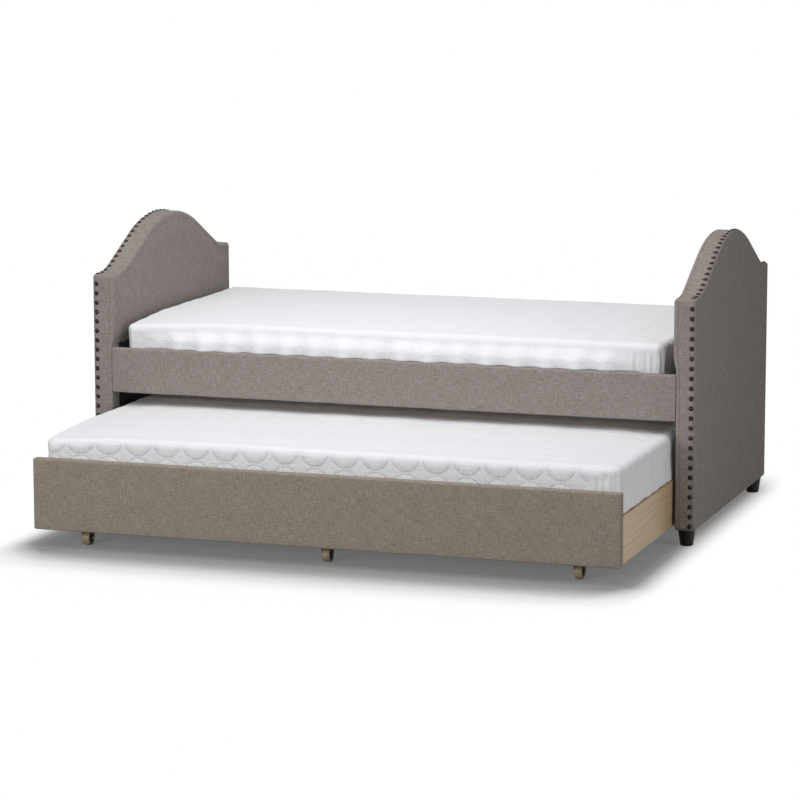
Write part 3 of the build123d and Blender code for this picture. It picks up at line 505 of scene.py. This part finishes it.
def mottled(name, colours, roughness, metallic, grain, depth, specular=0.5):
    """A finish with a fine, uneven surface. grain is the size of its mottling, depth that of its bumps."""
    material, tree, shader = new_material(name, roughness, metallic)
    shader.inputs["Specular IOR Level"].default_value = specular
    place = add(tree, "ShaderNodeTexCoord").outputs["Object"]
    cloud = add(
        tree, "ShaderNodeTexNoise", {"Vector": place}, {"Scale": 1 / grain, "Detail": 4.0}
    ).outputs["Fac"]
    colour = add(tree, "ShaderNodeValToRGB", {"Fac": cloud}, stops=list(zip((0.3, 0.7), colours)))
    tree.links.new(colour.outputs["Color"], shader.inputs["Base Color"])
    bump = add(tree, "ShaderNodeBump", {"Height": cloud}, {"Strength": 0.25, "Distance": depth})
    tree.links.new(bump.outputs["Normal"], shader.inputs["Normal"])
    return material


linen = linen_upholstery("linen_upholstery", ("#756c67", "#908782", "#aaa19d"))
# The same cloth tinted warmer for the front of the trundle, as painted warm light on it
painted_warm_linen = linen_upholstery("linen_upholstery_painted_warm", ("#766d63", "#91887c", "#aba297"))
knit = quilted_knit()
# Light wood under clear lacquer: pale, with a straight fine figure along each board and a soft shine
BOARD_COLOURS = ("#a98a65", "#bda27e", "#cdb592")
side_board = sawn_wood("lacquered_light_wood", BOARD_COLOURS, 11 * MM, 0.45, "Y")
back_board = sawn_wood("lacquered_light_wood_lengthwise", BOARD_COLOURS, 11 * MM, 0.45, "X")
# Planed pine and sawn softwood: warm, dry and plain
slat_pine = sawn_wood("planed_pine", ("#c09a68", "#d6b587", "#e2c79e"), 9 * MM, 0.6, "Y")
softwood = sawn_wood("sawn_softwood", ("#a98456", "#c4a072", "#d5b68b"), 8 * MM, 0.75, "X")
# Stamped steel nails with a dark antique bronze plate, worn a little lighter in patches
bronze = mottled("antique_bronze_plate", ("#1b1613", "#3b332c"), 0.2, 0.85, 6 * MM, 0.3 * MM)
# Paint on pressed steel: dark bronze and half glossy
fork_paint = mottled("bronze_paint", ("#2b2520", "#3d352d"), 0.45, 0.5, 4 * MM, 0.1 * MM)
# Moulded nylon: tan, smooth and a little cloudy
nylon = mottled("moulded_nylon", ("#96866b", "#a6967b"), 0.5, 0.0, 5 * MM, 0.1 * MM)
# Zinc plate on steel: cool, bright and faintly clouded
zinc = mottled("zinc_plated_steel", ("#8d8f92", "#b4b6b9"), 0.35, 1.0, 3 * MM, 0.05 * MM)
# Black lacquer on wood: smooth, with a low soft shine
lacquer = mottled("black_lacquered_wood", ("#0e0b0a", "#151110"), 0.4, 0.0, 8 * MM, 0.1 * MM, specular=0.2)
# Black, matt and faintly felted
inner_sheet_finish = mottled("matt_black_felted", ("#0d0c0c", "#171616"), 0.95, 0.0, 2 * MM, 0.3 * MM)
# Cut polyurethane foam: pale, matt and open-pored
foam = mottled("cut_foam", ("#d9d0b4", "#e8e0c8"), 0.9, 0.0, 2.5 * MM, 0.5 * MM)


def finish_piece(piece, material, body, slot, *replaced):
    """Gives a piece its finish, sets it on its body and hides the nodes that it stands for."""
    piece.data.materials.clear()
    piece.data.materials.append(material)
    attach(piece, body)
    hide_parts(*replaced)


# End panels

def top_edge(y, inset):
    """Height and outward way of a panel's top edge, y from the panel's middle, drawn in by inset."""
    away, side = abs(y), math.copysign(1, y)
    if away >= ARCH_RUN:
        return SHOULDER_HEIGHT - inset, (0.0, 1.0)
    if away >= ARCH_RUN - (COVE_RADIUS + inset) * math.sin(ARCH_SLOPE):
        lean = math.asin((ARCH_RUN - away) / (COVE_RADIUS + inset))
        height = SHOULDER_HEIGHT + COVE_RADIUS - (COVE_RADIUS + inset) * math.cos(lean)
    else:
        radius = CROWN_RADIUS - inset
        lean = min(math.asin(min(away / radius, 1)), ARCH_SLOPE)
        past = away - radius * math.sin(lean)
        height = PANEL_HIGH.z - CROWN_RADIUS + radius * math.cos(lean) - past * math.tan(lean)
    return height, (side * math.sin(lean), math.cos(lean))


def panel_grid(border, fine):
    """Grid of a panel's face in its own plane, drawn in by a border, and the ways out of its top edge."""
    across = spread(-PANEL_HALF + border, PANEL_HALF - border, FACE_STEP, fine)
    tops = [top_edge(y, border) for y in across]
    low = PANEL_LOW.z + border
    height = SHOULDER_HEIGHT - low
    shares = spread(0, 1, FACE_STEP / height, [d / height for d in fine])
    grid = [[(y, low + share * (top - low)) for y, (top, _) in zip(across, tops)] for share in shares]
    return np.array(grid), np.array([way for _, way in tops])


def end_upholstery(end, sign):
    """Fabric over the foam of the inner face, rolled round the edge, seamed, and drawn back over the band."""
    low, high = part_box(f"{end}_end_cover")
    near = low.x if sign > 0 else high.x
    thick = high.x - low.x
    rail_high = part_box("front_rail_cover")[1].z
    grid, ways = panel_grid(PANEL_CORNER, FACE_FINE)

    def lift(flat, depth):
        return np.stack([near + sign * depth, PANEL_MIDDLE + flat[:, 0], flat[:, 1]], 1)

    start = PANEL_CORNER - EDGE_ROLL
    profile = [(start, 0.0, start)]
    for turn in np.linspace(0, math.pi / 2, EDGE_STEPS + 1)[1:]:
        depth = EDGE_ROLL * (1 - math.cos(turn))
        profile.append((start + EDGE_ROLL * math.sin(turn), depth, start + EDGE_ROLL * turn))
    along = profile[-1][2] - EDGE_ROLL
    for step in (-1, -0.4, 0, 0.4, 1):
        depth = SEAM_BACK + step * SEAM_WIDTH
        drawn = SEAM_DEPTH * (1 - abs(step)) ** 0.7
        profile.append((PANEL_CORNER - drawn, depth, along + depth))
    for depth in spread(SEAM_BACK + 2 * SEAM_WIDTH, thick, BAND_STEP):
        profile.append((PANEL_CORNER, depth, along + depth))
    piece = make_shell(f"{end}_end_upholstery", grid, profile, lift, EDGE_STEPS, ways, flip=sign > 0)

    places = places_of(piece)
    depth = sign * (places[:, 0] - near)
    above_rail = smoothstep(places[:, 2], rail_high + SWELL_START, rail_high + SWELL_RUN)
    places[:, 0] -= sign * SWELL * above_rail * (1 - smoothstep(depth, EDGE_ROLL, SWELL_BACK))
    face = places[: grid.shape[0] * grid.shape[1] + len(loop_of(grid, ways, EDGE_STEPS)[0])]
    tops = np.array([top_edge(y, 0)[0] for y in face[:, 1] - PANEL_MIDDLE])
    slope = np.array([top_edge(y, 0)[1][1] for y in face[:, 1] - PANEL_MIDDLE])
    to_edge = np.minimum.reduce(
        [face[:, 1] - PANEL_LOW.y, PANEL_HIGH.y - face[:, 1], (tops - face[:, 2]) * slope]
    )
    rise = PUFF * smoothstep(to_edge, EDGE_ROLL, PUFF_RUN) ** 0.7
    rise += BEAD * np.exp(-(((to_edge - PANEL_CORNER) / BEAD_WIDTH) ** 2))
    rise += COVER_WAVE * uneven(face[:, 1:], *FACE_WAVES) * smoothstep(to_edge, 2 * EDGE_ROLL, PUFF_RUN)
    face[:, 0] -= sign * rise * above_rail[: len(face)]
    move_to(piece, places)
    thicken = piece.modifiers.new("cloth", "SOLIDIFY")
    thicken.thickness = CLOTH_THICK
    thicken.offset = -1
    finish_piece(piece, linen, "bed", "upholstery", f"{end}_end_cover")


def outer_cloth(end, sign):
    """Board that closes the outer side, wrapped in the same fabric, which softens its edges."""
    low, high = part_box(f"{end}_outer_panel")
    far = high.x if sign > 0 else low.x
    inset = PANEL_HIGH.y - high.y
    grid, ways = panel_grid(PANEL_CORNER, ())

    def lift(flat, depth):
        return np.stack([far - sign * depth, PANEL_MIDDLE + flat[:, 0], flat[:, 1]], 1)

    reach = PANEL_CORNER - inset
    start = reach - BOARD_ROLL
    profile = [(out, 0.0, out) for out in np.linspace(0, start, BOARD_STEPS)[1:]]
    for turn in np.linspace(0, math.pi / 2, BOARD_STEPS + 1)[1:]:
        depth = BOARD_ROLL * (1 - math.cos(turn))
        profile.append((start + BOARD_ROLL * math.sin(turn), depth, start + BOARD_ROLL * turn))
    profile.append((reach, high.x - low.x, reach + BOARD_ROLL))
    piece = make_shell(f"{end}_outer_cloth", grid, profile, lift, EDGE_STEPS, ways, flip=sign < 0, cap=True)
    finish_piece(piece, linen, "bed", "upholstery", f"{end}_outer_panel")


def black_inner_sheet(end, sign):
    """A black sheet low on the inner face, stretched but not quite flat."""
    low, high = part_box(f"{end}_inner_lining")
    near = low.x if sign > 0 else high.x
    across, up = spread(low.y, high.y, INNER_SHEET_STEP), spread(low.z, high.z, INNER_SHEET_STEP)
    grid = np.array([[(y, z) for y in across] for z in up])

    def lift(flat, depth):
        slack = INNER_SHEET_SLACK * np.sin(flat[:, 0] * INNER_SHEET_WAVES[0]) * np.sin(flat[:, 1] * INNER_SHEET_WAVES[1])
        return np.stack([near + sign * (INNER_SHEET_CLEAR + slack + depth), flat[:, 0], flat[:, 1]], 1)

    profile = [(INNER_SHEET_LIP, INNER_SHEET_THICK, INNER_SHEET_THICK)]
    piece = make_shell(f"{end}_black_inner_sheet", grid, profile, lift, 2, flip=sign > 0, cap=True)
    finish_piece(piece, inner_sheet_finish, "bed", "lining", f"{end}_inner_lining")


# Bed rails and the front of the trundle

def rail_sleeve(face):
    """A side rail's fabric: a sleeve with rounded edges over thin wadding, square at its ends."""
    node = f"{face}_rail_cover"
    low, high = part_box(node)
    corners = ((high.y, high.z, 0), (low.y, high.z, 90), (low.y, low.z, 180), (high.y, low.z, 270))
    section = []
    for y, z, start in corners:
        inner_y = y + math.copysign(RAIL_EDGE, low.y + high.y - 2 * y)
        inner_z = z + math.copysign(RAIL_EDGE, low.z + high.z - 2 * z)
        for turn in np.radians(np.linspace(start, start + 90, EDGE_STEPS + 1)):
            section.append((inner_y + RAIL_EDGE * math.cos(turn), inner_z + RAIL_EDGE * math.sin(turn)))
    section = np.array(section)
    fine = []
    for place, after in zip(section, np.roll(section, -1, axis=0)):
        steps = max(1, round(np.linalg.norm(after - place) / COVER_STEP))
        fine += [place + (after - place) * step / steps for step in range(steps)]
    section = np.array(fine)
    lengths = np.linalg.norm(np.roll(section, -1, axis=0) - section, axis=1)
    along = np.concatenate([[0], np.cumsum(lengths)[:-1]])
    stations = spread(low.x, high.x, COVER_STEP, RAIL_FINE)
    count = len(section)
    points = np.array([(x, y, z) for x in stations for y, z in section])
    flat = np.array([(x, length) for x in stations for length in along])
    outward = section - [(low.y + high.y) / 2, (low.z + high.z) / 2]
    half = np.array([high.y - low.y, high.z - low.z]) / 2
    outward = np.sign(outward) * (abs(outward) > half - RAIL_EDGE * 0.5)
    wave = COVER_WAVE * uneven(flat, *COVER_WAVES)
    wave *= smoothstep(high.x - abs(points[:, 0]), 0, RAIL_FADE)
    points[:, 1:] += np.tile(outward, (len(stations), 1)) * wave[:, None]
    faces = []
    for station in range(len(stations) - 1):
        here, there = station * count + np.arange(count), (station + 1) * count + np.arange(count)
        faces += np.stack([here, np.roll(here, -1), np.roll(there, -1), there], 1).tolist()
    faces += [np.arange(count)[::-1].tolist(), (len(points) - count + np.arange(count)).tolist()]
    piece = make_mesh(f"{face}_rail_sleeve", points, faces, flat)
    piece.data.set_sharp_from_angle(angle=math.radians(60))
    finish_piece(piece, linen, "bed", "upholstery", node)


def trundle_front():
    """The trundle's front panel in its fabric, over thin wadding and round every edge."""
    low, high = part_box("trundle_front_cover")
    thick = high.y - low.y
    half = (high.x - low.x) / 2
    across = spread(-half + FRONT_EDGE, half - FRONT_EDGE, COVER_STEP)
    up = spread(low.z + FRONT_EDGE, high.z - FRONT_EDGE, COVER_STEP)
    grid = np.array([[(x, z) for x in across] for z in up])

    def lift(flat, depth):
        return np.stack([flat[:, 0], low.y + depth, flat[:, 1]], 1)

    profile = []
    for turn in np.linspace(0, math.pi / 2, EDGE_STEPS + 1)[1:]:
        profile.append((FRONT_EDGE * math.sin(turn), FRONT_EDGE * (1 - math.cos(turn)), FRONT_EDGE * turn))
    along = profile[-1][2] - FRONT_EDGE
    back = thick - BACK_CLEAR
    profile += [(FRONT_EDGE, depth, along + depth) for depth in (thick * 0.4, thick * 0.7, back)]
    profile.append((FRONT_EDGE - TURN_IN, back, along + thick + TURN_IN))
    profile.append((0.0, thick - BACK_SINK, along + thick + TURN_IN + BACK_SINK))
    piece = make_shell("trundle_front_upholstery", grid, profile, lift, EDGE_STEPS, cap=True)
    places = places_of(piece)
    face = places[: grid.shape[0] * grid.shape[1]]
    edge = np.minimum(half - abs(face[:, 0]), np.minimum(face[:, 2] - low.z, high.z - face[:, 2]))
    wave = COVER_WAVE * uneven(face[:, [0, 2]], *COVER_WAVES)
    face[:, 1] -= wave * smoothstep(edge, FRONT_EDGE, FRONT_FADE)
    move_to(piece, places)
    # The trundle's front gets the cloth tinted warmer, as painted warm light
    finish_piece(piece, painted_warm_linen, "trundle", "upholstery", "trundle_front_cover")


# Mattresses

def mattress_profile(thick, corner, lean, roll, ledge):
    """Loops of a mattress from its top down to its base, as (out, drop, distance along the cloth). Two of
    them lie at a ledge, given as its drop, and close above it, so that the side can step out there."""
    top_inset = lean + roll
    side_low = thick - BASE_ROLL
    points = []
    for inset in np.linspace(corner, top_inset, max(2, round((corner - top_inset) / MATTRESS_STEP) + 1))[:-1]:
        points.append((inset, -CROWN_RISE * smoothstep(inset, top_inset, top_inset + CROWN_RUN)))
    for turn in np.linspace(0, math.pi / 2, ROLL_STEPS + 1):
        points.append((top_inset - roll * math.sin(turn), roll * (1 - math.cos(turn))))
    shares = np.linspace(0, 1, round((side_low - roll) / MATTRESS_STEP) + 1)[1:]
    if ledge is not None:
        step = (ledge - roll) / (side_low - roll)
        close = LEDGE_STEP / (side_low - roll)
        shares = np.sort(np.append(shares[abs(shares - step) > 2 * close], (step - close, step)))
    for share in shares:
        inset = lean * (1 - share) + SIDE_DRAW * math.sin(math.pi * share)
        points.append((inset, roll + share * (side_low - roll)))
    for turn in np.linspace(0, math.pi / 2, BASE_STEPS + 1)[1:]:
        points.append((BASE_ROLL * (1 - math.cos(turn)), side_low + BASE_ROLL * math.sin(turn)))
    along = np.cumsum([math.dist(here, after) for here, after in zip(points, points[1:])])
    return [(corner - inset, drop, length) for (inset, drop), length in zip(points[1:], along)]


def quilting(rounds):
    """How far the quilted cloth stands out, at places counted in rounds along and across."""
    nearest = np.round(rounds)
    offset = (rounds - nearest) * [ROUND_PITCH, ROW_PITCH]
    number = (nearest - nearest.min(0)).astype(int)
    chance = random.random(number.max(0) + 1)[number[:, 0], number[:, 1]]
    away = np.linalg.norm(offset, axis=1) / ROUND_RADIUS
    # Each round is a flat-topped dome, some fuller than others, and the cloth between them is lower
    dome = np.clip(1 - away**2.4, 0, 1) ** 0.6 * (0.75 + 0.5 * chance)
    between = 0.35 * smoothstep(away, 1.0, 1.2)
    return ROUND_RISE * (dome + between - QUILT_SINK)


def quilted_mattress(name, node, body, form, place, stitching, ledge=None):
    """A mattress in a quilted cover: puffed rounds over its top and long sides, plain ends in soft folds, and
    gathered corners. form is its corner radius, lean and edge radius, place how far it lies off the middle
    and past its nominal length at each end. stitching is how far below the top the rounds on its long edges
    end, the x of a column of rounds and how far they are drawn in, which also sets how strong the painted
    shade in the stitching is on its sides. Its long sides stand out over a rail whose top is at ledge."""
    corner, lean, roll = form
    shift, longer = place
    first_line, column, tight = stitching
    low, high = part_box(node)
    half = (high - low) / 2 + Vector((longer, 0, 0))
    middle = (low + high) / 2 + Vector((shift, 0, 0))
    top = high.z - CROWN_RISE
    thick = top - low.z
    across = spread(-half.x + corner, half.x - corner, MATTRESS_STEP)
    up = spread(-half.y + corner, half.y - corner, MATTRESS_STEP)
    grid = np.array([[(x, y) for x in across] for y in up])
    count = grid.shape[0] * grid.shape[1]

    def lift(flat, drop):
        return np.stack([middle.x + flat[:, 0], middle.y + flat[:, 1], top - drop], 1)

    profile = mattress_profile(thick, corner, lean, roll, None if ledge is None else top - ledge)
    piece = make_shell(name, grid, profile, lift, CORNER_STEPS, cap=True)
    places = places_of(piece)
    inset = np.minimum(half.x - abs(grid[..., 0]), half.y - abs(grid[..., 1])).ravel()
    places[:count, 2] += CROWN_RISE * smoothstep(inset, lean + roll, lean + roll + CROWN_RUN)
    move_to(piece, places)

    # Where each vertex lies: on the flat cloth, down the side, and round the mattress
    border, outward, _ = loop_of(grid, None, CORNER_STEPS)
    flat = np.concatenate([grid.reshape(-1, 2)] + [border + outward * along for _, _, along in profile])
    rim = border + outward * corner
    girth = np.cumsum(np.linalg.norm(rim - np.roll(rim, 1, axis=0), axis=1))
    girth = np.concatenate([np.zeros(count), np.tile(girth, len(profile))])
    outward = np.concatenate([np.zeros((count, 2)), np.tile(outward, (len(profile), 1))])
    drop = top - places[:, 2]
    down_side = smoothstep(drop, *SIDE_RUN)
    at_end = smoothstep(abs(outward[:, 0]), *END_TURN) * down_side
    gathered = smoothstep(flat[:, 0], half.x - GATHER_RUN, half.x - 0.6 * GATHER_RUN)
    gathered *= smoothstep(drop, roll, roll + GATHER_DEPTH)
    plain = np.maximum(at_end, 0.85 * gathered)
    drawn = TOP_DRAWN + (tight - TOP_DRAWN) * down_side

    # Rounds, counted from the row on the long edge and from the given column
    stitch = np.interp(first_line, [step[1] for step in profile], [step[2] for step in profile])
    row_pitch = (half.y - corner + stitch - ROUND_RADIUS) / ROWS
    rounds = (flat - [column - middle.x, 0]) / [ROUND_PITCH, row_pitch]
    lay_flat(piece.data, rounds)
    for word, share in (("plain", plain), ("drawn", drawn), ("girth", girth)):
        piece.data.attributes.new(word, "FLOAT", "POINT").data.foreach_set("value", share.astype(np.float32))

    rise = quilting(rounds) * drawn * (1 - plain)
    rise += FOLD_RISE * at_end * (0.75 * uneven(girth, *FOLD_WAVES) + 0.4 * uneven(girth, CREASE_WAVE))
    rise += GATHER_RISE * gathered * (1 - at_end) * uneven(girth, *GATHER_WAVES)
    rise += SAG * uneven(flat, *SAG_WAVES)
    rise *= 1 - 0.8 * smoothstep(drop, thick - BASE_FADE, thick - BASE_ROLL)
    if ledge is not None:
        over = smoothstep(drop, *OVERHANG_DEPTH)
        over *= smoothstep(places[:, 2], ledge + 0.1 * LEDGE_STEP, ledge + 0.9 * LEDGE_STEP)
        along_side = smoothstep(half.x - abs(flat[:, 0]), *OVERHANG_ENDS)
        between = 0.5 - 0.5 * np.cos(2 * math.pi * rounds[:, 0])
        rise += OVERHANG * over * along_side * (1.15 - 0.55 * between + 0.1 * uneven(girth, OVERHANG_WAVE))
    places += normals_of(piece) * rise[:, None]
    away = np.hypot(*(places[:, :2] - [middle.x - half.x, middle.y - half.y]).T)
    slump = SLUMP * np.exp(-((away / SLUMP_RUN) ** 2))
    places[:, 2] -= slump * (1 - smoothstep(drop, 0.1 * thick, 0.55 * thick))
    hem = smoothstep(drop, thick - HEM_RUN[0], thick - HEM_RUN[1])
    places[:, 2] += hem * HEM_RISE * np.clip(0.3 + 0.6 * uneven(girth, *HEM_WAVES), 0, 1)
    places[:, 2] = np.maximum(places[:, 2], low.z)
    move_to(piece, places)
    finish_piece(piece, knit, body, "mattress", node)


for end, sign in ENDS:
    end_upholstery(end, sign)
    outer_cloth(end, sign)
    black_inner_sheet(end, sign)
rail_sleeve("front")
rail_sleeve("rear")
trundle_front()
quilted_mattress(
    "upper_quilted_mattress",
    "upper_mattress",
    "bed",
    form=(27 * MM, 2 * MM, 22 * MM),
    place=(-10 * MM, 0),
    stitching=(62 * MM, 42 * MM, 0.36),
    ledge=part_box("front_rail_cover")[1].z,
)
quilted_mattress(
    "trundle_quilted_mattress",
    "trundle_mattress",
    "trundle",
    form=(50 * MM, 6 * MM, 24 * MM),
    place=(3 * MM, 8.5 * MM),
    stitching=(54 * MM, -26 * MM, 1.0),
)

# Finishes of the pieces that keep their CAD shape, by what their names hold
FINISHES = (
    ("trundle_left_side", side_board),
    ("trundle_right_side", side_board),
    ("trundle_back_board", back_board),
    ("caster_fork", fork_paint),
    ("caster_wheel", nylon),
    ("foot_studs", zinc),
    ("foot", lacquer),
    ("nailheads", bronze),
    ("foam", foam),
    ("screws", zinc),
    ("bolts", zinc),
    ("inserts", zinc),
    ("brackets", zinc),
    ("axles", zinc),
    ("slats", slat_pine),
    ("beam", slat_pine),
    ("", softwood),
)
for name, node in nodes.items():
    finish = next(material for part, material in FINISHES if part in name)
    node.data.materials.clear()
    node.data.materials.append(finish)
    if name.endswith(("nailheads", "foot", "wheel")):
        node.data.shade_smooth()
        node.data.set_sharp_from_angle(angle=math.radians(40))


# Floor, light and camera

def seen_directly(tree):
    """1 for rays from the camera, off gloss or through glass, and 0 for the light that lands on things."""
    path = add(tree, "ShaderNodeLightPath")
    gloss = add(
        tree,
        "ShaderNodeMath",
        {0: path.outputs["Is Glossy Ray"], 1: path.outputs["Is Transmission Ray"]},
        operation="MAXIMUM",
    )
    both = add(
        tree, "ShaderNodeMath", {0: path.outputs["Is Camera Ray"], 1: gloss.outputs[0]}, operation="MAXIMUM"
    )
    return both.outputs[0]


FLOOR_NEAR = 0.125  # how light the paper looks under and close to the object
FLOOR_LIT = 0.3  # share of the light on it there that it gives back, which shows what stands on it
LIT_FADE = 0.15  # share of the way to white at which that ends
SHADOW_REACH = 0.8  # how far from a thing the floor still counts as less open
OPEN_WHITE = (0.7, 0.95)  # how open the floor is where it begins to clear, and where it is white
OPEN_DULL = (0.5, 0.9)  # and the same where the trundle can roll out
SHADOW_SIDE = 0.14  # limit of the shadow beside the object
SHADOW_FRONT = 0.5  # and before and behind it
SHADOW_INSET = Vector((0.075, 0.1, 0))  # it begins this far inside the outline
TRUNDLE_OUT = 0.45  # how much further the trundle rolls out
FLOOR_REACH = 12.0  # half the floor's width
FLOOR_BOUNCE = "#a4a4a4"  # its colour in the light that it throws back on things


def past_shadow(tree, low, high):
    """0 on the floor between two corners, rising to 1 at the limits of the shadow round it."""
    middle, half = (low + high) / 2, (high - low) / 2 - SHADOW_INSET
    place = add(tree, "ShaderNodeTexCoord").outputs["Object"]
    offset = add(tree, "ShaderNodeVectorMath", {0: place}, {1: (middle.x, middle.y, 0)}, operation="SUBTRACT")
    size = add(tree, "ShaderNodeVectorMath", {0: offset.outputs[0]}, operation="ABSOLUTE")
    past = add(
        tree, "ShaderNodeVectorMath", {0: size.outputs[0]}, {1: (half.x, half.y, 0)}, operation="SUBTRACT"
    )
    outside = add(tree, "ShaderNodeVectorMath", {0: past.outputs[0]}, {1: (0, 0, 0)}, operation="MAXIMUM")
    shares = add(
        tree,
        "ShaderNodeVectorMath",
        {0: outside.outputs[0]},
        {1: (SHADOW_SIDE, SHADOW_FRONT, 1)},
        operation="DIVIDE",
    )
    away = add(tree, "ShaderNodeVectorMath", {0: shares.outputs[0]}, operation="LENGTH").outputs["Value"]
    return add(tree, "ShaderNodeMapRange", {"Value": away}, interpolation_type="SMOOTHSTEP").outputs["Result"]


def paper_sweep():
    """White studio paper: an even soft shadow under and round the object, and plain white further out. Where
    the trundle rolls in or out, the shadow goes by how open the floor is."""
    material, tree, shader = new_material("white_paper", 1.0)
    tree.nodes.remove(shader)
    open_share = add(
        tree, "ShaderNodeAmbientOcclusion", values={"Distance": SHADOW_REACH}, samples=16
    ).outputs["AO"]
    bare, dulled = [
        add(
            tree,
            "ShaderNodeMapRange",
            {"Value": open_share},
            {"From Min": closed, "From Max": clear},
            interpolation_type="SMOOTHSTEP",
        ).outputs["Result"]
        for closed, clear in (OPEN_WHITE, OPEN_DULL)
    ]
    at_rest = past_shadow(tree, cad_low, cad_high)
    rolled_out = past_shadow(tree, cad_low - Vector((0, TRUNDLE_OUT, 0)), cad_high)
    ahead = add(tree, "ShaderNodeMath", {0: rolled_out, 1: dulled}, operation="MAXIMUM").outputs[0]
    shadow = add(tree, "ShaderNodeMath", {0: at_rest, 1: ahead}, operation="MINIMUM").outputs[0]
    white = add(tree, "ShaderNodeMath", {0: bare, 1: shadow}, operation="MAXIMUM").outputs[0]
    level = add(tree, "ShaderNodeMapRange", {"Value": white}, {"To Min": FLOOR_NEAR}).outputs["Result"]
    lit = add(
        tree,
        "ShaderNodeMapRange",
        {"Value": white},
        {"From Max": LIT_FADE, "To Min": FLOOR_LIT, "To Max": 0.0},
    ).outputs["Result"]
    paper = add(tree, "ShaderNodeEmission", {"Strength": level})
    shadows = add(tree, "ShaderNodeBsdfDiffuse", {"Color": lit})
    seen = add(tree, "ShaderNodeAddShader", {0: paper.outputs[0], 1: shadows.outputs[0]})
    bounce = add(tree, "ShaderNodeBsdfDiffuse", values={"Color": linear(FLOOR_BOUNCE)})
    mix = add(
        tree, "ShaderNodeMixShader", {0: seen_directly(tree), 1: bounce.outputs[0], 2: seen.outputs[0]}
    )
    tree.links.new(mix.outputs[0], tree.nodes["Material Output"].inputs["Surface"])
    return material


floor_mesh = bpy.data.meshes.new("floor")
floor_corners = [(x * FLOOR_REACH, y * FLOOR_REACH, 0) for x, y in ((-1, -1), (1, -1), (1, 1), (-1, 1))]
floor_mesh.from_pydata(floor_corners, [], [(0, 1, 2, 3)])
floor_mesh.materials.append(paper_sweep())
floor = bpy.data.objects.new("floor", floor_mesh)
bpy.context.scene.collection.objects.link(floor)

AMBIENT = 0.25  # strength of the even light from all round
world = bpy.data.worlds.new("white_studio")
bpy.context.scene.world = world
world.use_nodes = True
background = world.node_tree.nodes["Background"]
background.inputs["Color"].default_value = (1, 1, 1, 1)
strength = add(
    world.node_tree, "ShaderNodeMapRange", {"Value": seen_directly(world.node_tree)}, {"To Min": AMBIENT}
)
world.node_tree.links.new(strength.outputs["Result"], background.inputs["Strength"])


def softbox(name, place, aim, size, power):
    """A soft light that faces a point. power is in watts."""
    lamp = bpy.data.lights.new(name, "AREA")
    lamp.shape = "RECTANGLE"
    lamp.size, lamp.size_y = size
    lamp.energy = power
    light = bpy.data.objects.new(name, lamp)
    light.visible_camera = False
    light.location = place
    light.rotation_euler = (Vector(aim) - Vector(place)).to_track_quat("-Z", "Y").to_euler()
    bpy.context.scene.collection.objects.link(light)


# The mattress tops are lit from above, the fronts mostly from the left, and the right end only weakly
softbox("overhead_softbox", (-0.1, -0.5, 3.2), (-0.1, -0.5, 0.0), (1.9, 2.2), 49)
softbox("high_front_softbox", (0.0, -3.4, 3.6), (0.0, -0.2, 0.4), (2.4, 1.6), 23)
softbox("left_front_softbox", (-1.7, -5.7, 1.5), (0.1, -0.2, 0.4), (2.0, 1.4), 106)
softbox("right_fill", (3.5, -1.2, 1.1), (1.0, -0.6, 0.25), (1.4, 1.2), 17)
softbox("rear_fill", (-0.8, 4.4, 1.0), (0.0, 0.6, 0.4), (2.4, 1.2), 40)

# The camera stands far off to the right of the front and looks down a little, as in the photograph
CAMERA_DOWN = 0.1582  # radians below level
CAMERA_TURN = 0.32  # radians round from straight ahead
camera_data = bpy.data.cameras.new("camera")
camera_data.lens = 144.96
camera_data.sensor_width = 36
camera_data.shift_x = -0.032
camera_data.shift_y = -0.00925
camera = bpy.data.objects.new("camera", camera_data)
camera.location = (3.439, -10.1655, 2.138)
camera.rotation_euler = (math.pi / 2 - CAMERA_DOWN, 0, CAMERA_TURN)
bpy.context.scene.collection.objects.link(camera)
bpy.context.scene.camera = camera

bpy.context.scene.view_settings.view_transform = "Standard"
bpy.context.view_layer.update()
